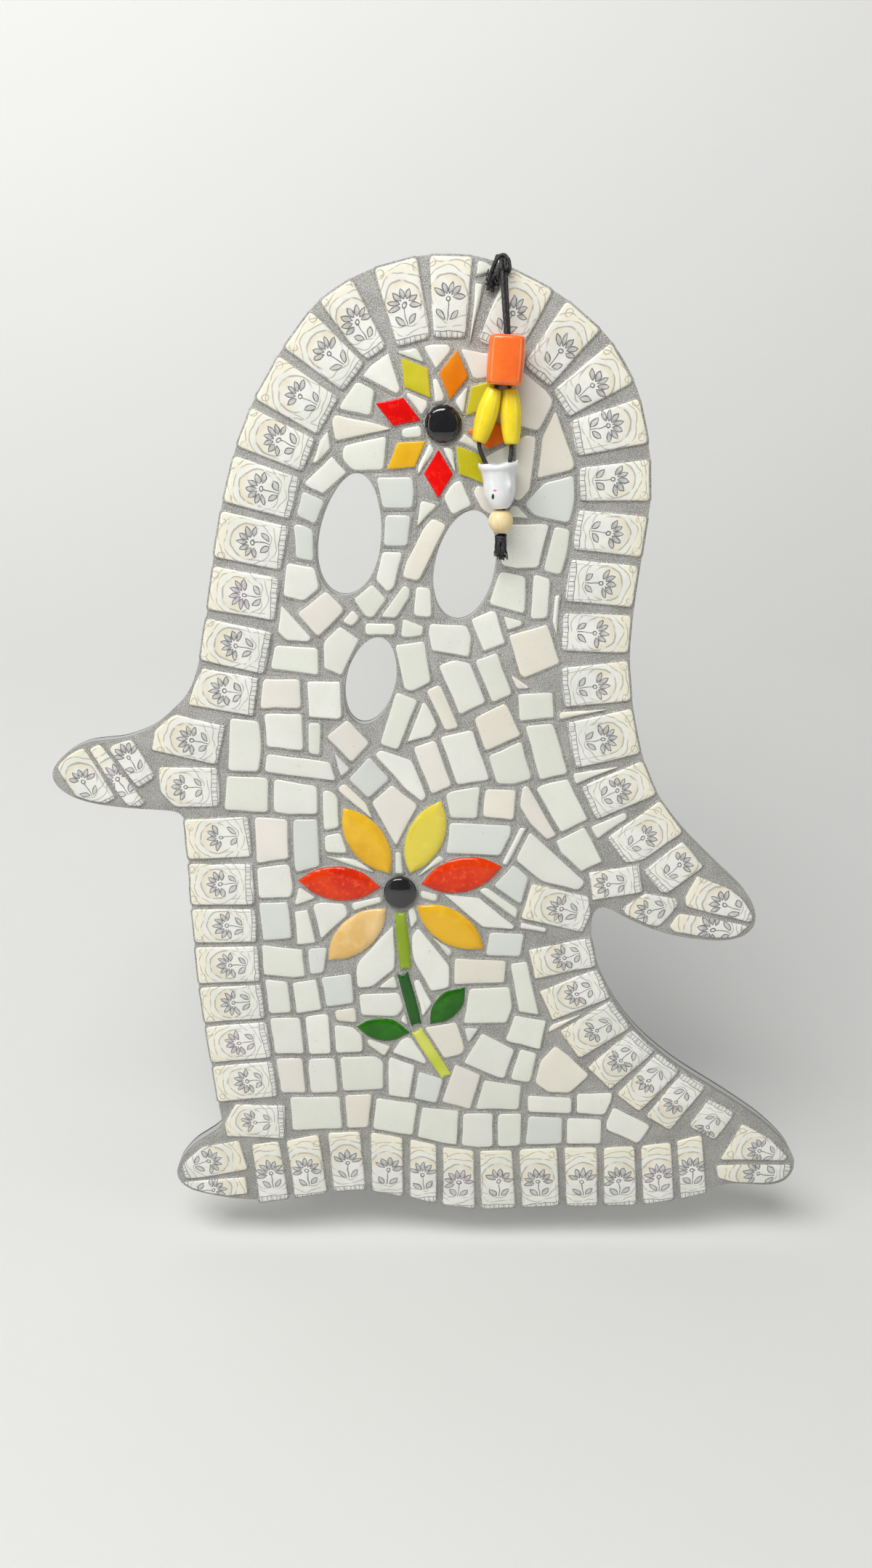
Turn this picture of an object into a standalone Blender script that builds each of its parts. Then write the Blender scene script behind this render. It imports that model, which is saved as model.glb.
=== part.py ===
"""Mosaic ghost ornament: a flat ghost cut from board, faced with crockery and glass, with a bead dangle."""
import bpy
import bmesh
from math import cos, sin, pi, radians, atan2, hypot
from random import Random
from mathutils import Matrix, Vector

# The face is drawn on a layout of squares, X to the right and Z up, which is 447 squares high.
# Places and crockery sizes are in squares, so they are shares of the ghost's height.
HEIGHT = 0.447
LAYOUT_HEIGHT = 447.0
SQUARE = HEIGHT / LAYOUT_HEIGHT
HANGING_POINT = (0.0, 190.0)

# Thicknesses run from the back face, in the plane Y = 0, towards -Y.
BOARD_THICK = 0.006
TOUCH_GAP = 0.0003
GROUT_THICK = 0.0033
CROCKERY_THICK = 0.0042
PRINTED_THICK = 0.0044
GLASS_THICK = 0.0044

GEM_DIAMETER = 0.0156
GEM_CROWN = 0.0024
DIAMOND_LENGTH = 0.0200
DIAMOND_WIDTH = 0.0122
PETAL_LENGTH = 0.0390
PETAL_WIDTH = 0.0172
LEAF_LENGTH = 0.0262
LEAF_WIDTH = 0.0124
STICK_WIDTH = 0.0056
GEM_TO_DIAMOND = 0.0020
GEM_TO_PETAL = 0.0022

# Joints between pieces, in squares.
JOINT = 1.9
GLASS_JOINT = 1.0
EDGE_RIM = 1.2
OPENING_RIM = 0.9
SMALLEST_TILE = 9.0
SPREAD = 3.6
SHORTEST_NIP = 1.7

CORD_DIAMETER = 0.0019
CORD_CLEARANCE = 0.0004
CORD_HOLE = 0.0042
CORD_HOLE_PLACE = (23.4, 211.4)

# Beads on the cord, which is doubled: the pair's two strands lie side by side this far apart.
STRAND_SPREAD = 0.0022
BARREL_WIDTH = 0.0150
BARREL_HEIGHT = 0.0192
BARREL_BORE = 0.0076
OVAL_DIAMETER = 0.0088
OVAL_LENGTH = 0.0218
OVAL_END = 0.55
OVAL_BORE = 0.0034
GHOST_DIAMETER = 0.0134
GHOST_HEM = 0.0160
GHOST_HEIGHT = 0.0192
GHOST_WALL = 0.0013
WOOD_DIAMETER = 0.0104
KNOT_DIAMETER = 0.0054
TASSEL_LENGTH = 0.0066
# Places of the beads: layout point, distance of the middle from the back face, lean to the right.
BARREL_PLACE = ((28.0, 181.0), 0.0187, 3.8)
OVAL_LEFT = ((20.65, 159.9), 0.0184, 16.3)
OVAL_RIGHT = ((30.65, 159.4), 0.0170, -2.8)
GHOST_PLACE = ((26.3, 132.3), 0.0193, -4.5)
WOOD_PLACE = ((27.05, 117.6), 0.0186, 0.0)
KNOT_PLACE = ((27.2, 110.4), 0.0186, 0.0)
# The cord's two strands from the hitch at the edge down to the knot: layout point and distance from
# the back face. They lie one behind the other above the barrel bead and part below it.
STRAND_LEFT = (
    (26.9, 214.9, 0.0150), (27.3, 208, 0.0163), (27.9, 199, 0.0184), (28.4, 191, 0.0197),
    (27.9, 186, 0.0196), (27.0, 181, 0.0192), (26.0, 175.5, 0.0187), (24.85, 172.0, 0.0186),
    (23.85, 169.4, 0.0185), (22.6, 166, 0.0184), (20.65, 159.9, 0.0184), (18.7, 153, 0.0184),
    (17.75, 149.3, 0.0184), (18.3, 145.8, 0.0186), (19.8, 142.3, 0.0190), (21.3, 139.5, 0.0193),
    (22.9, 135, 0.0193), (24.2, 130, 0.0193), (25.6, 125, 0.0191), (25.95, 122, 0.0189),
    (25.95, 117.6, 0.0186), (25.95, 112.9, 0.0186),
)
STRAND_RIGHT = (
    (26.9, 214.9, 0.0128), (27.3, 208, 0.0141), (27.9, 199, 0.0162), (28.5, 191, 0.0175),
    (28.8, 186, 0.0175), (29.2, 181, 0.0177), (29.4, 175.5, 0.0179), (29.7, 172.0, 0.0177),
    (29.95, 169.4, 0.0173), (30.3, 166, 0.0171), (30.65, 159.4, 0.0170), (31.0, 153, 0.0171),
    (31.1, 148.4, 0.0173), (31.0, 145.4, 0.0178), (30.6, 142.0, 0.0184), (30.2, 138.5, 0.0190),
    (29.8, 135, 0.0192), (29.2, 130, 0.0193), (28.35, 125, 0.0191), (28.15, 122, 0.0189),
    (28.15, 117.6, 0.0186), (28.15, 112.9, 0.0186),
)

# Outline of the board, counter-clockwise from the crown of the head; a smooth curve runs through it.
OUTLINE = (
    (0, 221.5), (-14, 219.5), (-30, 214.5), (-46, 205.5), (-59.5, 190.5), (-70, 175), (-78.5, 160),
    (-85, 143.5), (-90.5, 125), (-95, 105), (-98.5, 85), (-102, 67), (-105.5, 53), (-110.5, 42),
    (-119, 33), (-129, 25.2), (-142, 20.5), (-156, 18.8), (-167, 14), (-173.6, 6), (-172.5, -1),
    (-165, -6.8), (-153, -10.2), (-136, -12.2), (-121.5, -13.2), (-116, -16.5), (-115, -26),
    (-114.8, -60), (-113.8, -100), (-110.7, -137), (-107.5, -168), (-107, -178), (-111.5, -183.8),
    (-121, -190.5), (-129, -200), (-130.6, -208), (-125, -215.2), (-110, -219.7), (-92, -221.7),
    (-72, -218.3), (-48, -213.8), (-30, -214.5), (-10, -219), (12, -224.3), (32, -224.9), (60, -223),
    (95, -223), (118, -220.5), (135, -216), (150, -212.2), (167, -213), (176.5, -210.3),
    (180.6, -202), (177, -191.5), (162, -176), (140, -160), (120, -146.5), (103, -132), (90, -116.5),
    (80, -98.5), (75, -82.5), (73.3, -70), (74.8, -63), (80, -61.2), (92, -67.5), (110, -74.6),
    (132, -77.9), (145.5, -75.5), (150.6, -67.5), (146.5, -55.5), (133, -42), (117, -26),
    (104, -9.5), (95, 8), (89, 30), (86, 50), (85.5, 70), (88, 98), (91, 127), (89, 148),
    (84, 168), (75, 184.5), (62, 198), (45, 209.5), (27, 217.8), (13, 221.3),
)
OUTLINE_STEPS = 2

# Egg-shaped openings: centre, half width, half height, lean to the right at the top, and taper.
OPENINGS = {
    "left_eye": ((-36.9, 110.8), 13.5, 26.2, 10.0, 0.13),
    "right_eye": ((12.7, 97.7), 13.2, 24.0, 11.0, 0.05),
    "mouth": ((-29.0, 47.0), 11.0, 20.4, 14.0, 0.04),
}
OPENING_SIDES = 24

# Printed border tiles that follow the edge, counter-clockwise: where a run starts and ends, the
# tiles' depth, how far they sit inside the edge, how upright they stand, and their widths in turn.
EDGE_RUNS = (
    ((15, 221), (-25, 216.5), 30.5, 0.3, 0, (18, 17.5)),
    ((-34, 213), (-104, 57), 29.0, 0.3, 0, (15.5, 19.5, 19.5, 17, 19.5, 20, 18.7, 19)),
    ((111, -26), (86, 98), 29.5, 0.9, 0, (19, 17.5, 21.5, 18, 16.5, 18)),
    ((88, 101), (29, 217), 29.5, 0.4, 0, (17, 17, 18.5, 18.5, 18, 20)),
    ((-115, -17), (-108, -164), 29.5, 0.2, 0, (19.5, 20.5, 17, 19, 18.5, 19.5, 19.5)),
    ((-90, -222), (137, -216), 34.0, -1.8, 0.75,
     (14.5, 16.5, 16, 16, 13.5, 16.5, 17, 18.5, 16, 16, 15.5, 13)),
    ((133, -156), (73.3, -75.5), 29.5, 0.9, 0, (15, 15.5, 16.5, 18.5, 17, 15.5)),
)
UPRIGHT = (-0.07, 1.0)
# Printed tiles laid by themselves: centre, direction of the flower's head, length and width.
LOOSE_PRINTS = (
    ((-94.3, 42.8), 170, 29.0, 17.5),
    ((-111.3, 21.5), 167, 30.0, 18.5),
    ((-112.3, -1.3), 180, 27.0, 19.0),
    ((-137.5, 9.5), 118, 22.0, 12.0),
    ((-144.3, 3.5), 123, 34.0, 9.5),
    ((-159.5, 3.5), 118, 31.0, 17.5),
    ((110.3, -41.5), 40, 23.0, 16.5),
    ((82.8, -46.8), 190, 25.5, 17.0),
    ((57.5, -61.2), 166, 31.0, 18.0),
    ((-90.8, -175.7), 178, 31.0, 18.5),
    ((-112.5, -198.5), 12, 32.0, 17.0),
    ((-113.0, -214.0), 5, 34.0, 11.0),
    ((137.0, -175.3), 240, 19.0, 15.5),
)
# Printed tiles nipped to fit the tips of the right arm and foot, by their corners.
PRINTED_SHARDS = (
    ((121.7, -44.3), (116.7, -55.9), (117.4, -60.0), (123.5, -62.0), (147.0, -68.0), (148.8, -67.3),
     (148.8, -64.5), (144.6, -57.6), (137.4, -51.4)),
    ((114.9, -63.9), (113.1, -65.5), (110.1, -70.5), (112.2, -73.0), (129.5, -76.4), (137.6, -76.4),
     (142.6, -75.3), (147.2, -69.8)),
    ((97.6, -53.6), (89.0, -59.5), (87.4, -61.8), (89.0, -64.4), (100.8, -69.8), (104.0, -70.2), (105.8, -69.5),
     (109.5, -65.5), (113.3, -59.5), (112.9, -57.3), (109.5, -54.5), (101.3, -53.0)),
    ((152.5, -177.3), (143.3, -197.8), (175.3, -198.4), (176.8, -196.5), (175.0, -194.0), (167.0, -186.0),
     (159.0, -181.0)),
    ((141.4, -201.0), (178.8, -200.8), (178.6, -204.6), (175.9, -208.7), (171.5, -210.9), (166.0, -211.7),
     (150.0, -211.0), (142.4, -208.6)),
)

# Courses of plain crockery: middle of the course, its direction, its height and its pieces in turn.
COURSES = (
    # Head, left of its flower.
    ((-32.2, 165.5), -12, 10, (13.5,)), ((-47.4, 148), 0, 7.5, (6,)), ((-28.5, 143.5), -3, 13.5, (16,)),
    ((-44.3, 135.8), 40, 13.5, (14,)), ((-53.5, 121.8), -25, 12.5, (10.5,)), ((-57.2, 108.6), 3, 13, (11.5,)),
    ((-58.7, 92), -12, 12, (12,)), ((-69.6, 93.8), 15, 5, (6.5,)), ((-50, 77.8), 40, 14, (16,)),
    ((-65, 73), -48, 7, (17,)), ((-28.2, 83.4), 42, 12, (12,)), ((-37, 75.4), 45, 6, (6,)),
    # Between the eyes.
    ((-17, 129.5), 3, 15.5, (14.5,)), ((-17.2, 112.8), -3, 12.5, (12,)), ((-20.4, 96.8), -14, 12.5, (10,)),
    ((-4.8, 104.5), 62, 9, (26,)), ((-16.3, 82.5), 55, 6, (13,)),
    ((-6.6, 82.8), -4, 13.5, (7.5,)), ((9.8, 125.8), 28, 12.5, (12,)),
    # Head, right of its flower and round the right eye.
    ((16.3, 198.5), 80, 3.2, (18,)), ((19.5, 217.2), -12, 2.4, (8,)),
    ((22.5, 125.5), -35, 6, (11,)), ((35.3, 120.8), -30, 3, (4.5,)), ((36, 107), 0, 18.5, (16,)),
    ((50.9, 104.6), 78, 7, (20,)), ((31.6, 86.6), 76, 13, (17,)), ((44.2, 84), 89, 10, (18.5,)),
    ((53.2, 76.5), 93, 3.4, (11,)), ((22.6, 71.2), -66, 11.5, (18,)), ((33.5, 73), -20, 2.5, (6,)),
    ((43, 60), 20, 22, (20,)), ((5, 66.3), -8, 12.5, (19,)),
    # Round the mouth.
    ((-40.6, 61.3), 65, 11.5, (19.5,)), ((-24.3, 71.2), 0, 7.6, (15,)), ((-10.2, 71.6), -20, 4.6, (11,)),
    ((-9, 55.5), -80, 14.5, (20,)), ((-60.6, 58), -4, 13, (19.5,)), ((-69, 42.6), -4, 15, (15,)),
    ((-49.7, 38.6), 2, 16, (15,)), ((-18.6, 28.2), 70, 13, (26,)), ((-40, 19.8), 45, 13.5, (13.5,)),
    # Right cheek, courses that lean with the body.
    ((12, 45.3), -66, 12.5, (18,)), ((26.2, 50), -68, 10.8, (19.5,)), ((37.8, 46), -35, 4.5, (6,)),
    ((45.3, 36.8), 6, 14, (16.5,)), ((2.6, 35.4), -66, 8.8, (20,)), ((-5.8, 27), 60, 6.5, (13,)),
    ((28, 26.2), 22, 16.5, (17,)), ((64, 32.8), 13, 3.6, (19.5,)), ((13.5, 12.6), -72, 14.5, (24,)),
    ((-2.3, 7.8), -69, 10.5, (25,)), ((33.3, 8.9), 19, 14.8, (15,)), ((49.8, 14.4), -71, 14.2, (24,)),
    ((70.5, 6.3), 12, 5, (18,)), ((57.7, -10.6), -62, 15, (20.5,)), ((47, -14.5), -60, 7.5, (25,)),
    ((29.2, -9.4), -5, 14.5, (15.5,)), ((13.6, -9.5), -80, 10.5, (14,)), ((18.7, -26.9), -3, 14.8, (25.8,)),
    ((35.9, -30.3), 66, 4.8, (15.5,)), ((52.8, -38.8), -42, 14, (31,)), ((67.3, -31), -63, 13.5, (15,)),
    ((77.5, -19.6), 28, 5.8, (16,)), ((35.9, -49), -40, 11.5, (12.5,)),
    # Left cheek and shoulder.
    ((-86.2, 18), 89, 13, (24,)), ((-68.1, 24.7), -2, 15, (17,)), ((-54.4, 21.2), 89, 6, (14.5,)),
    ((-62, 6.7), -8, 11, (31,)), ((-43.3, 7.8), -75, 4.6, (8.5,)), ((-30.8, 3), 45, 14, (14,)),
    ((-15, 4.2), -50, 8.5, (24,)), ((-75.9, -5.8), -3, 15.5, (21, 19.5)), ((-49, -13), 89, 6, (18.5,)),
    ((-37.4, -8.2), -46, 4.2, (17.5,)), ((-76, -26.8), -1, 20, (16,)), ((-59.2, -29), 90, 13, (25,)),
    ((-47.2, -28.7), -75, 6.4, (10,)), ((-74.4, -47.2), 4, 14.5, (15,)), ((-75, -68), -87, 13, (19.5,)),
    ((-62.3, -71.4), -80, 6.8, (17,)),
    # Below the flower, both sides of its stem.
    ((-71.5, -88.6), -4, 16, (20,)), ((-57.6, -88.5), 80, 5.5, (14,)), 
    ((-61.6, -105.8), 8, 17.5, (12.8, 12.8, 14)), ((-28.2, -111), 0, 15.5, (20,)),
    ((-43.2, -117), -3, 7.5, (9,)), ((-22.4, -101.3), -55, 4, (6,)), 
    ((20.8, -93), -2, 13, (25.5,)), ((-5.3, -106.8), -65, 6, (12,)), ((24, -113.3), -2, 20, (20.5,)),
    ((41.3, -102.5), -80, 7, (25,)), ((31, -79), -3, 13, (13,)), ((44.3, -70.2), -8, 4, (9,)),
    ((44.2, -124.8), -14, 14.5, (19,)), ((60.8, -120.6), 34, 5, (13,)), ((6.2, -130.3), 15, 12.5, (15,)),
    ((17.3, -126.4), -35, 4.5, (6,)), ((25.2, -139.2), -27, 18, (20,)), ((-15, -120.2), -30, 4.5, (6,)),
    # Bottom courses.
    ((-64.4, -128.2), 2, 20, (14, 12.8)), ((-42.4, -130.4), 0, 14.3, (13.5,)),
    ((-28.6, -134.6), -38, 5, (10.5,)),
    ((-13.8, -137.2), -20, 9, (14,)), ((-52.3, -149.6), 1, 19.5, (13, 13, 20)),
    ((-17.6, -151), 88, 9.8, (19.5,)),
    ((-3.6, -155.3), 79, 11.5, (18,)), ((13.6, -157.3), 76, 14.5, (19.5,)), ((31.6, -161.5), -5, 16.5, (18,)),
    ((43.4, -146.3), 79, 11.8, (18.5,)), ((61, -150), -40, 16, (20,)), ((65.6, -165.6), -2, 12, (22, 16)),
    ((-51.5, -171.2), 2, 20.5, (22, 12.3)), ((-20.8, -174.5), -3, 20.5, (21.5,)),
    ((0.8, -178.4), -3, 18.5, (19,)),
    ((28.2, -180.7), 0, 19.3, (15.3, 11.8)), ((64.2, -181.5), 0, 15.6, (19.3, 18.6)),
    ((94, -180.5), -28, 9, (23,)),
)

# Shards of crockery cut to fit round the two flowers, by their corners.
SHARDS = (
    # Round the head's flower.
    ((-28.6, 174.9), (-19.6, 183.3), (-15.6, 170.6), (-16.4, 168.8)),
    ((-43.9, 157.7), (-33.9, 159.6), (-18.3, 154.8), (-18.5, 153.0), (-42.1, 147.7)),
    ((-15.7, 184.9), (-12.1, 187.0), (-6.1, 184.5), (-7.1, 182.0)),
    ((-6.3, 187.0), (2.5, 187.4), (3.6, 184.1), (-1.8, 178.8)),
    ((12.9, 184.1), (22.0, 180.6), (21.5, 175.2), (17.1, 175.6)),
    ((-13.6, 154.9), (-6.8, 155.6), (-6.6, 152.7), (-12.9, 150.9)),
    ((-10.9, 167.4), (-3.2, 164.9), (-4.3, 161.6), (-9.6, 164.1)),
    ((-1.8, 172.7), (1.3, 172.7), (0.4, 165.5), (-1.1, 166.2)),
    ((13.2, 169.9), (8.6, 165.6), (10.4, 162.4), (13.0, 166.0)),
    ((9.3, 149.5), (12.1, 152.7), (17.1, 149.1), (17.5, 146.3)),
    ((3.2, 147.4), (6.1, 148.1), (9.6, 139.1), (7.1, 138.9)),
    ((-6.8, 139.1), (-4.6, 145.6), (-0.7, 148.1), (-3.9, 138.4)),
    ((-7.9, 125.7), (1.1, 124.9), (0.0, 121.3), (-9.6, 111.6)),
    ((34.5, 174.5), (45.7, 165.2), (42.9, 153.3), (33.5, 155.5)),
    ((22.9, 142.7), (29.3, 146.3), (30.5, 141.3), (23.2, 140.0)),
    ((15.0, 131.3), (19.6, 131.3), (17.1, 127.4)),
    ((33.5, 149.9), (42.5, 151.6), (42.1, 147.7), (35.7, 125.2), (33.0, 125.6)),
    ((43.6, 149.1), (48.6, 159.7), (57.1, 138.8), (43.9, 135.6)),
    ((36.6, 123.4), (42.1, 129.1), (57.9, 134.9), (57.1, 123.4), (55.0, 115.8), (40.0, 119.9)),
    # Round the body's flower.
    ((-28.9, -10.6), (-20.3, -0.1), (-17.4, -0.3), (-8.1, -7.8), (-18.5, -30.6)),
    ((-19.7, -32.8), (-16.0, -32.8), (-15.1, -41.0), (-19.7, -41.0)),
    ((-10.3, -45.3), (-3.9, -38.5), (1.5, -34.2), (3.6, -36.0), (0.4, -39.2)),
    ((-52.3, -34.2), (-39.6, -34.9), (-30.3, -41.0), (-27.1, -45.3), (-28.1, -46.7), (-52.1, -38.9)),
    ((-39.9, -60.3), (-35.3, -57.8), (-26.7, -56.0), (-26.7, -57.6), (-30.3, -60.3), (-39.2, -63.1)),
    ((-59.2, -59.2), (-46.7, -59.6), (-41.2, -62.8), (-54.6, -77.2)),
    ((-65.8, -51.3), (-57.8, -57.2), (-68.4, -61.0)),
    ((-14.0, -62.1), (-11.0, -61.4), (-9.6, -69.6), (-12.4, -70.3)),
    ((-6.9, -53.1), (1.1, -55.3), (0.4, -58.5), (-7.1, -56.4)),
    ((2.6, -55.6), (20.4, -57.1), (24.4, -58.9), (36.5, -70.3), (29.0, -71.9), (19.7, -69.6)),
    ((20.1, -53.1), (27.6, -53.9), (34.0, -58.1), (39.0, -66.7), (30.4, -62.0)),
    ((-2.8, -76.4), (-1.0, -76.0), (7.6, -84.2), (6.1, -87.1)),
    ((-38.0, -102.0), (-33.1, -88.0), (-20.7, -74.0), (-23.6, -96.5), (-29.0, -101.0)),
    ((-11.0, -73.5), (-8.9, -70.3), (-1.7, -79.0), (7.4, -97.0), (6.5, -99.8), (-4.8, -102.5)),
)

# Glass: colour names, bearing from the gem, turn away from that bearing, and extra distance in squares.
HEAD_GEM = (3.0, 156.5)
DIAMONDS = (
    ("olive", 121.7, 5.8, 1.5), ("orange", 77.7, 4, 0), ("olive", 33.4, 13.6, -0.5),
    ("vermilion", -11.7, 4.7, 0.4), ("olive", -55, 3.5, 0.3), ("red", -95.7, 5.7, 0.4),
    ("amber", -141.2, -3.6, 0), ("red", 165.6, -5.6, -0.5),
)
BODY_GEM = (-16.7, -53.0)
PETALS = (
    ("amber", 121, 2, 0), ("yellow", 66.6, 1.4, 0), ("vermilion", 16.4, -3.4, 0.3),
    ("amber", -37.2, 2.2, 0), ("peach", -134, -2, 0.4), ("vermilion", 171.7, 3, -0.8),
)
LEAVES = (((5.6, -112.0), 50), ((-25.6, -124.8), -7))
STICKS = (
    ("light", (-16.9, -63.6), (-14.4, -92.3)),
    ("dark", (-15.8, -95.2), (-9.6, -121.8)),
    ("lime", (-9.4, -125.6), (5.0, -150.2)),
)

COLOURS = {
    "board": ((0.012, 0.012, 0.013, 1), 0.6), "mosaic": ((0.66, 0.66, 0.60, 1), 0.3),
    "olive": ((0.48, 0.42, 0.02, 1), 0.12), "orange": ((0.70, 0.21, 0.01, 1), 0.12),
    "vermilion": ((0.62, 0.08, 0.01, 1), 0.15), "red": ((0.58, 0.01, 0.01, 1), 0.12),
    "amber": ((0.72, 0.37, 0.02, 1), 0.12), "yellow": ((0.72, 0.64, 0.10, 1), 0.15),
    "peach": ((0.75, 0.46, 0.14, 1), 0.15), "gem": ((0.01, 0.01, 0.01, 1), 0.08),
    "leaf": ((0.02, 0.14, 0.005, 1), 0.12), "light": ((0.28, 0.42, 0.03, 1), 0.2),
    "dark": ((0.02, 0.13, 0.03, 1), 0.2), "lime": ((0.45, 0.52, 0.05, 1), 0.2),
    "barrel_bead": ((0.85, 0.16, 0.02, 1), 0.12), "oval_bead": ((0.87, 0.72, 0.02, 1), 0.2),
    "ghost_bead": ((0.85, 0.85, 0.85, 1), 0.1), "wood_bead": ((0.83, 0.62, 0.32, 1), 0.4),
    "cord": ((0.015, 0.015, 0.016, 1), 0.7),
}


def on_face(point, depth=0.0):
    """A layout point as a place in the part's frame, a depth in front of the back face."""
    return Vector(((point[0] - HANGING_POINT[0]) * SQUARE, -depth, (point[1] - HANGING_POINT[1]) * SQUARE))


def smooth_loop(points, steps):
    """Points on a closed Catmull-Rom curve through the given points."""
    loop = []
    count = len(points)
    for i in range(count):
        a, b, c, d = (Vector(points[(i + k) % count]) for k in (-1, 0, 1, 2))
        for step in range(steps):
            t = step / steps
            loop.append(0.5 * (2 * b + (c - a) * t + (2 * a - 5 * b + 4 * c - d) * t ** 2
                               + (3 * b - a - 3 * c + d) * t ** 3))
    return loop


def smooth_path(points, spacing):
    """Points spaced evenly along an open Catmull-Rom curve, both ends kept."""
    ends = [2 * points[0] - points[1], *points, 2 * points[-1] - points[-2]]
    fine = []
    for a, b, c, d in zip(ends, ends[1:], ends[2:], ends[3:]):
        fine += [0.5 * (2 * b + (c - a) * t + (2 * a - 5 * b + 4 * c - d) * t ** 2
                        + (3 * b - a - 3 * c + d) * t ** 3) for t in (k / 16 for k in range(16))]
    fine.append(points[-1])
    lengths = [0.0]
    for p, q in zip(fine, fine[1:]):
        lengths.append(lengths[-1] + (q - p).length)
    count = max(2, round(lengths[-1] / spacing))
    path = []
    i = 0
    for k in range(count + 1):
        want = lengths[-1] * k / count
        while i < len(fine) - 2 and lengths[i + 1] < want:
            i += 1
        part = (want - lengths[i]) / max(lengths[i + 1] - lengths[i], 1e-9)
        path.append(fine[i].lerp(fine[i + 1], part))
    return path


def area(polygon):
    total = 0.0
    for p, q in zip(polygon, polygon[1:] + polygon[:1]):
        total += p.x * q.y - q.x * p.y
    return total / 2


def cut(polygon, normal, reach):
    """The side of a convex polygon where normal . p is at most reach."""
    kept = []
    for p, q in zip(polygon, polygon[1:] + polygon[:1]):
        dp, dq = normal.dot(p) - reach, normal.dot(q) - reach
        if dp <= 0:
            kept.append(p)
        if dp * dq < 0:
            kept.append(p.lerp(q, dp / (dp - dq)))
    return kept


def tidy(polygon, shortest=0.9):
    """The polygon without edges too short to nip."""
    kept = []
    for p in polygon:
        if not kept or (p - kept[-1]).length > shortest:
            kept.append(p)
    while len(kept) > 3 and (kept[0] - kept[-1]).length <= shortest:
        kept.pop()
    return kept


def widest_gap(a, b):
    """The unit direction from convex polygon a to b along which they are furthest apart, with that gap."""
    best = (-1e9, None)
    for polygon, sign in ((a, 1), (b, -1)):
        for p, q in zip(polygon, polygon[1:] + polygon[:1]):
            edge = q - p
            normal = Vector((edge.y, -edge.x)).normalized() * sign
            gap = min(normal.dot(v) for v in b) - max(normal.dot(v) for v in a)
            if gap > best[0]:
                best = (gap, normal)
    return best


def block(centre, turn, length, height):
    """A rectangle of crockery, counter-clockwise."""
    along = Vector((cos(radians(turn)), sin(radians(turn))))
    across = Vector((-along.y, along.x))
    centre = Vector(centre)
    return [centre + along * length * sx / 2 + across * height * sz / 2
            for sx, sz in ((-1, -1), (1, -1), (1, 1), (-1, 1))]


def shard(points):
    """A piece of crockery with chosen corners, counter-clockwise."""
    outline = [Vector(p) for p in points]
    return outline if area(outline) > 0 else outline[::-1]


def lens(centre, turn, length, width, steps=5):
    """A pointed leaf shape between two arcs, counter-clockwise."""
    radius = (length ** 2 + width ** 2) / (4 * width)
    half = atan2(length / 2, radius - width / 2)
    loop = []
    for side in (1, -1):
        for k in range(steps):
            angle = half - 2 * half * k / steps
            loop.append(Vector((radius * sin(angle), radius * cos(angle) - radius + width / 2)) * side)
    return [Vector(centre) + Matrix.Rotation(radians(turn), 2) @ p for p in loop]


def diamond(centre, turn, length, width):
    points = [Vector(p) for p in ((length / 2, 0), (0, width / 2), (-length / 2, 0), (0, -width / 2))]
    return [Vector(centre) + Matrix.Rotation(radians(turn), 2) @ p for p in points]


def disc(centre, diameter, sides):
    return [Vector(centre) + Vector((cos(2 * pi * k / sides), sin(2 * pi * k / sides))) * diameter / 2
            for k in range(sides)]


def stick(start, end, width):
    """A round-ended stick of glass."""
    start, end = Vector(start), Vector(end)
    along = (end - start).normalized()
    across = Vector((-along.y, along.x))
    nose = width * 0.3
    half = width / 2
    return [start + along * nose - across * half, end - along * nose - across * half,
            end - across * half * 0.5, end + across * half * 0.5,
            end - along * nose + across * half, start + along * nose + across * half,
            start + across * half * 0.5, start - across * half * 0.5]


def egg(centre, half_width, half_height, lean, taper, grow=0.0):
    """An egg-shaped opening, narrower at the top, counter-clockwise."""
    turn = Matrix.Rotation(-radians(lean), 2)
    loop = []
    for k in range(OPENING_SIDES):
        a = 2 * pi * k / OPENING_SIDES
        loop.append(Vector(centre) + turn @ Vector(
            ((half_width + grow) * cos(a) * (1 - taper * sin(a)), (half_height + grow) * sin(a))))
    return loop


def swell(polygon, by):
    """The polygon with every edge moved out."""
    count = len(polygon)
    grown = []
    for i, p in enumerate(polygon):
        before = (p - polygon[i - 1]).normalized()
        after = (polygon[(i + 1) % count] - p).normalized()
        n1, n2 = Vector((before.y, -before.x)), Vector((after.y, -after.x))
        middle = n1 + n2
        grown.append(p + middle * by / max(1 + n1.dot(n2), 0.25))
    return grown


def squares(metres):
    return metres / SQUARE


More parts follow.
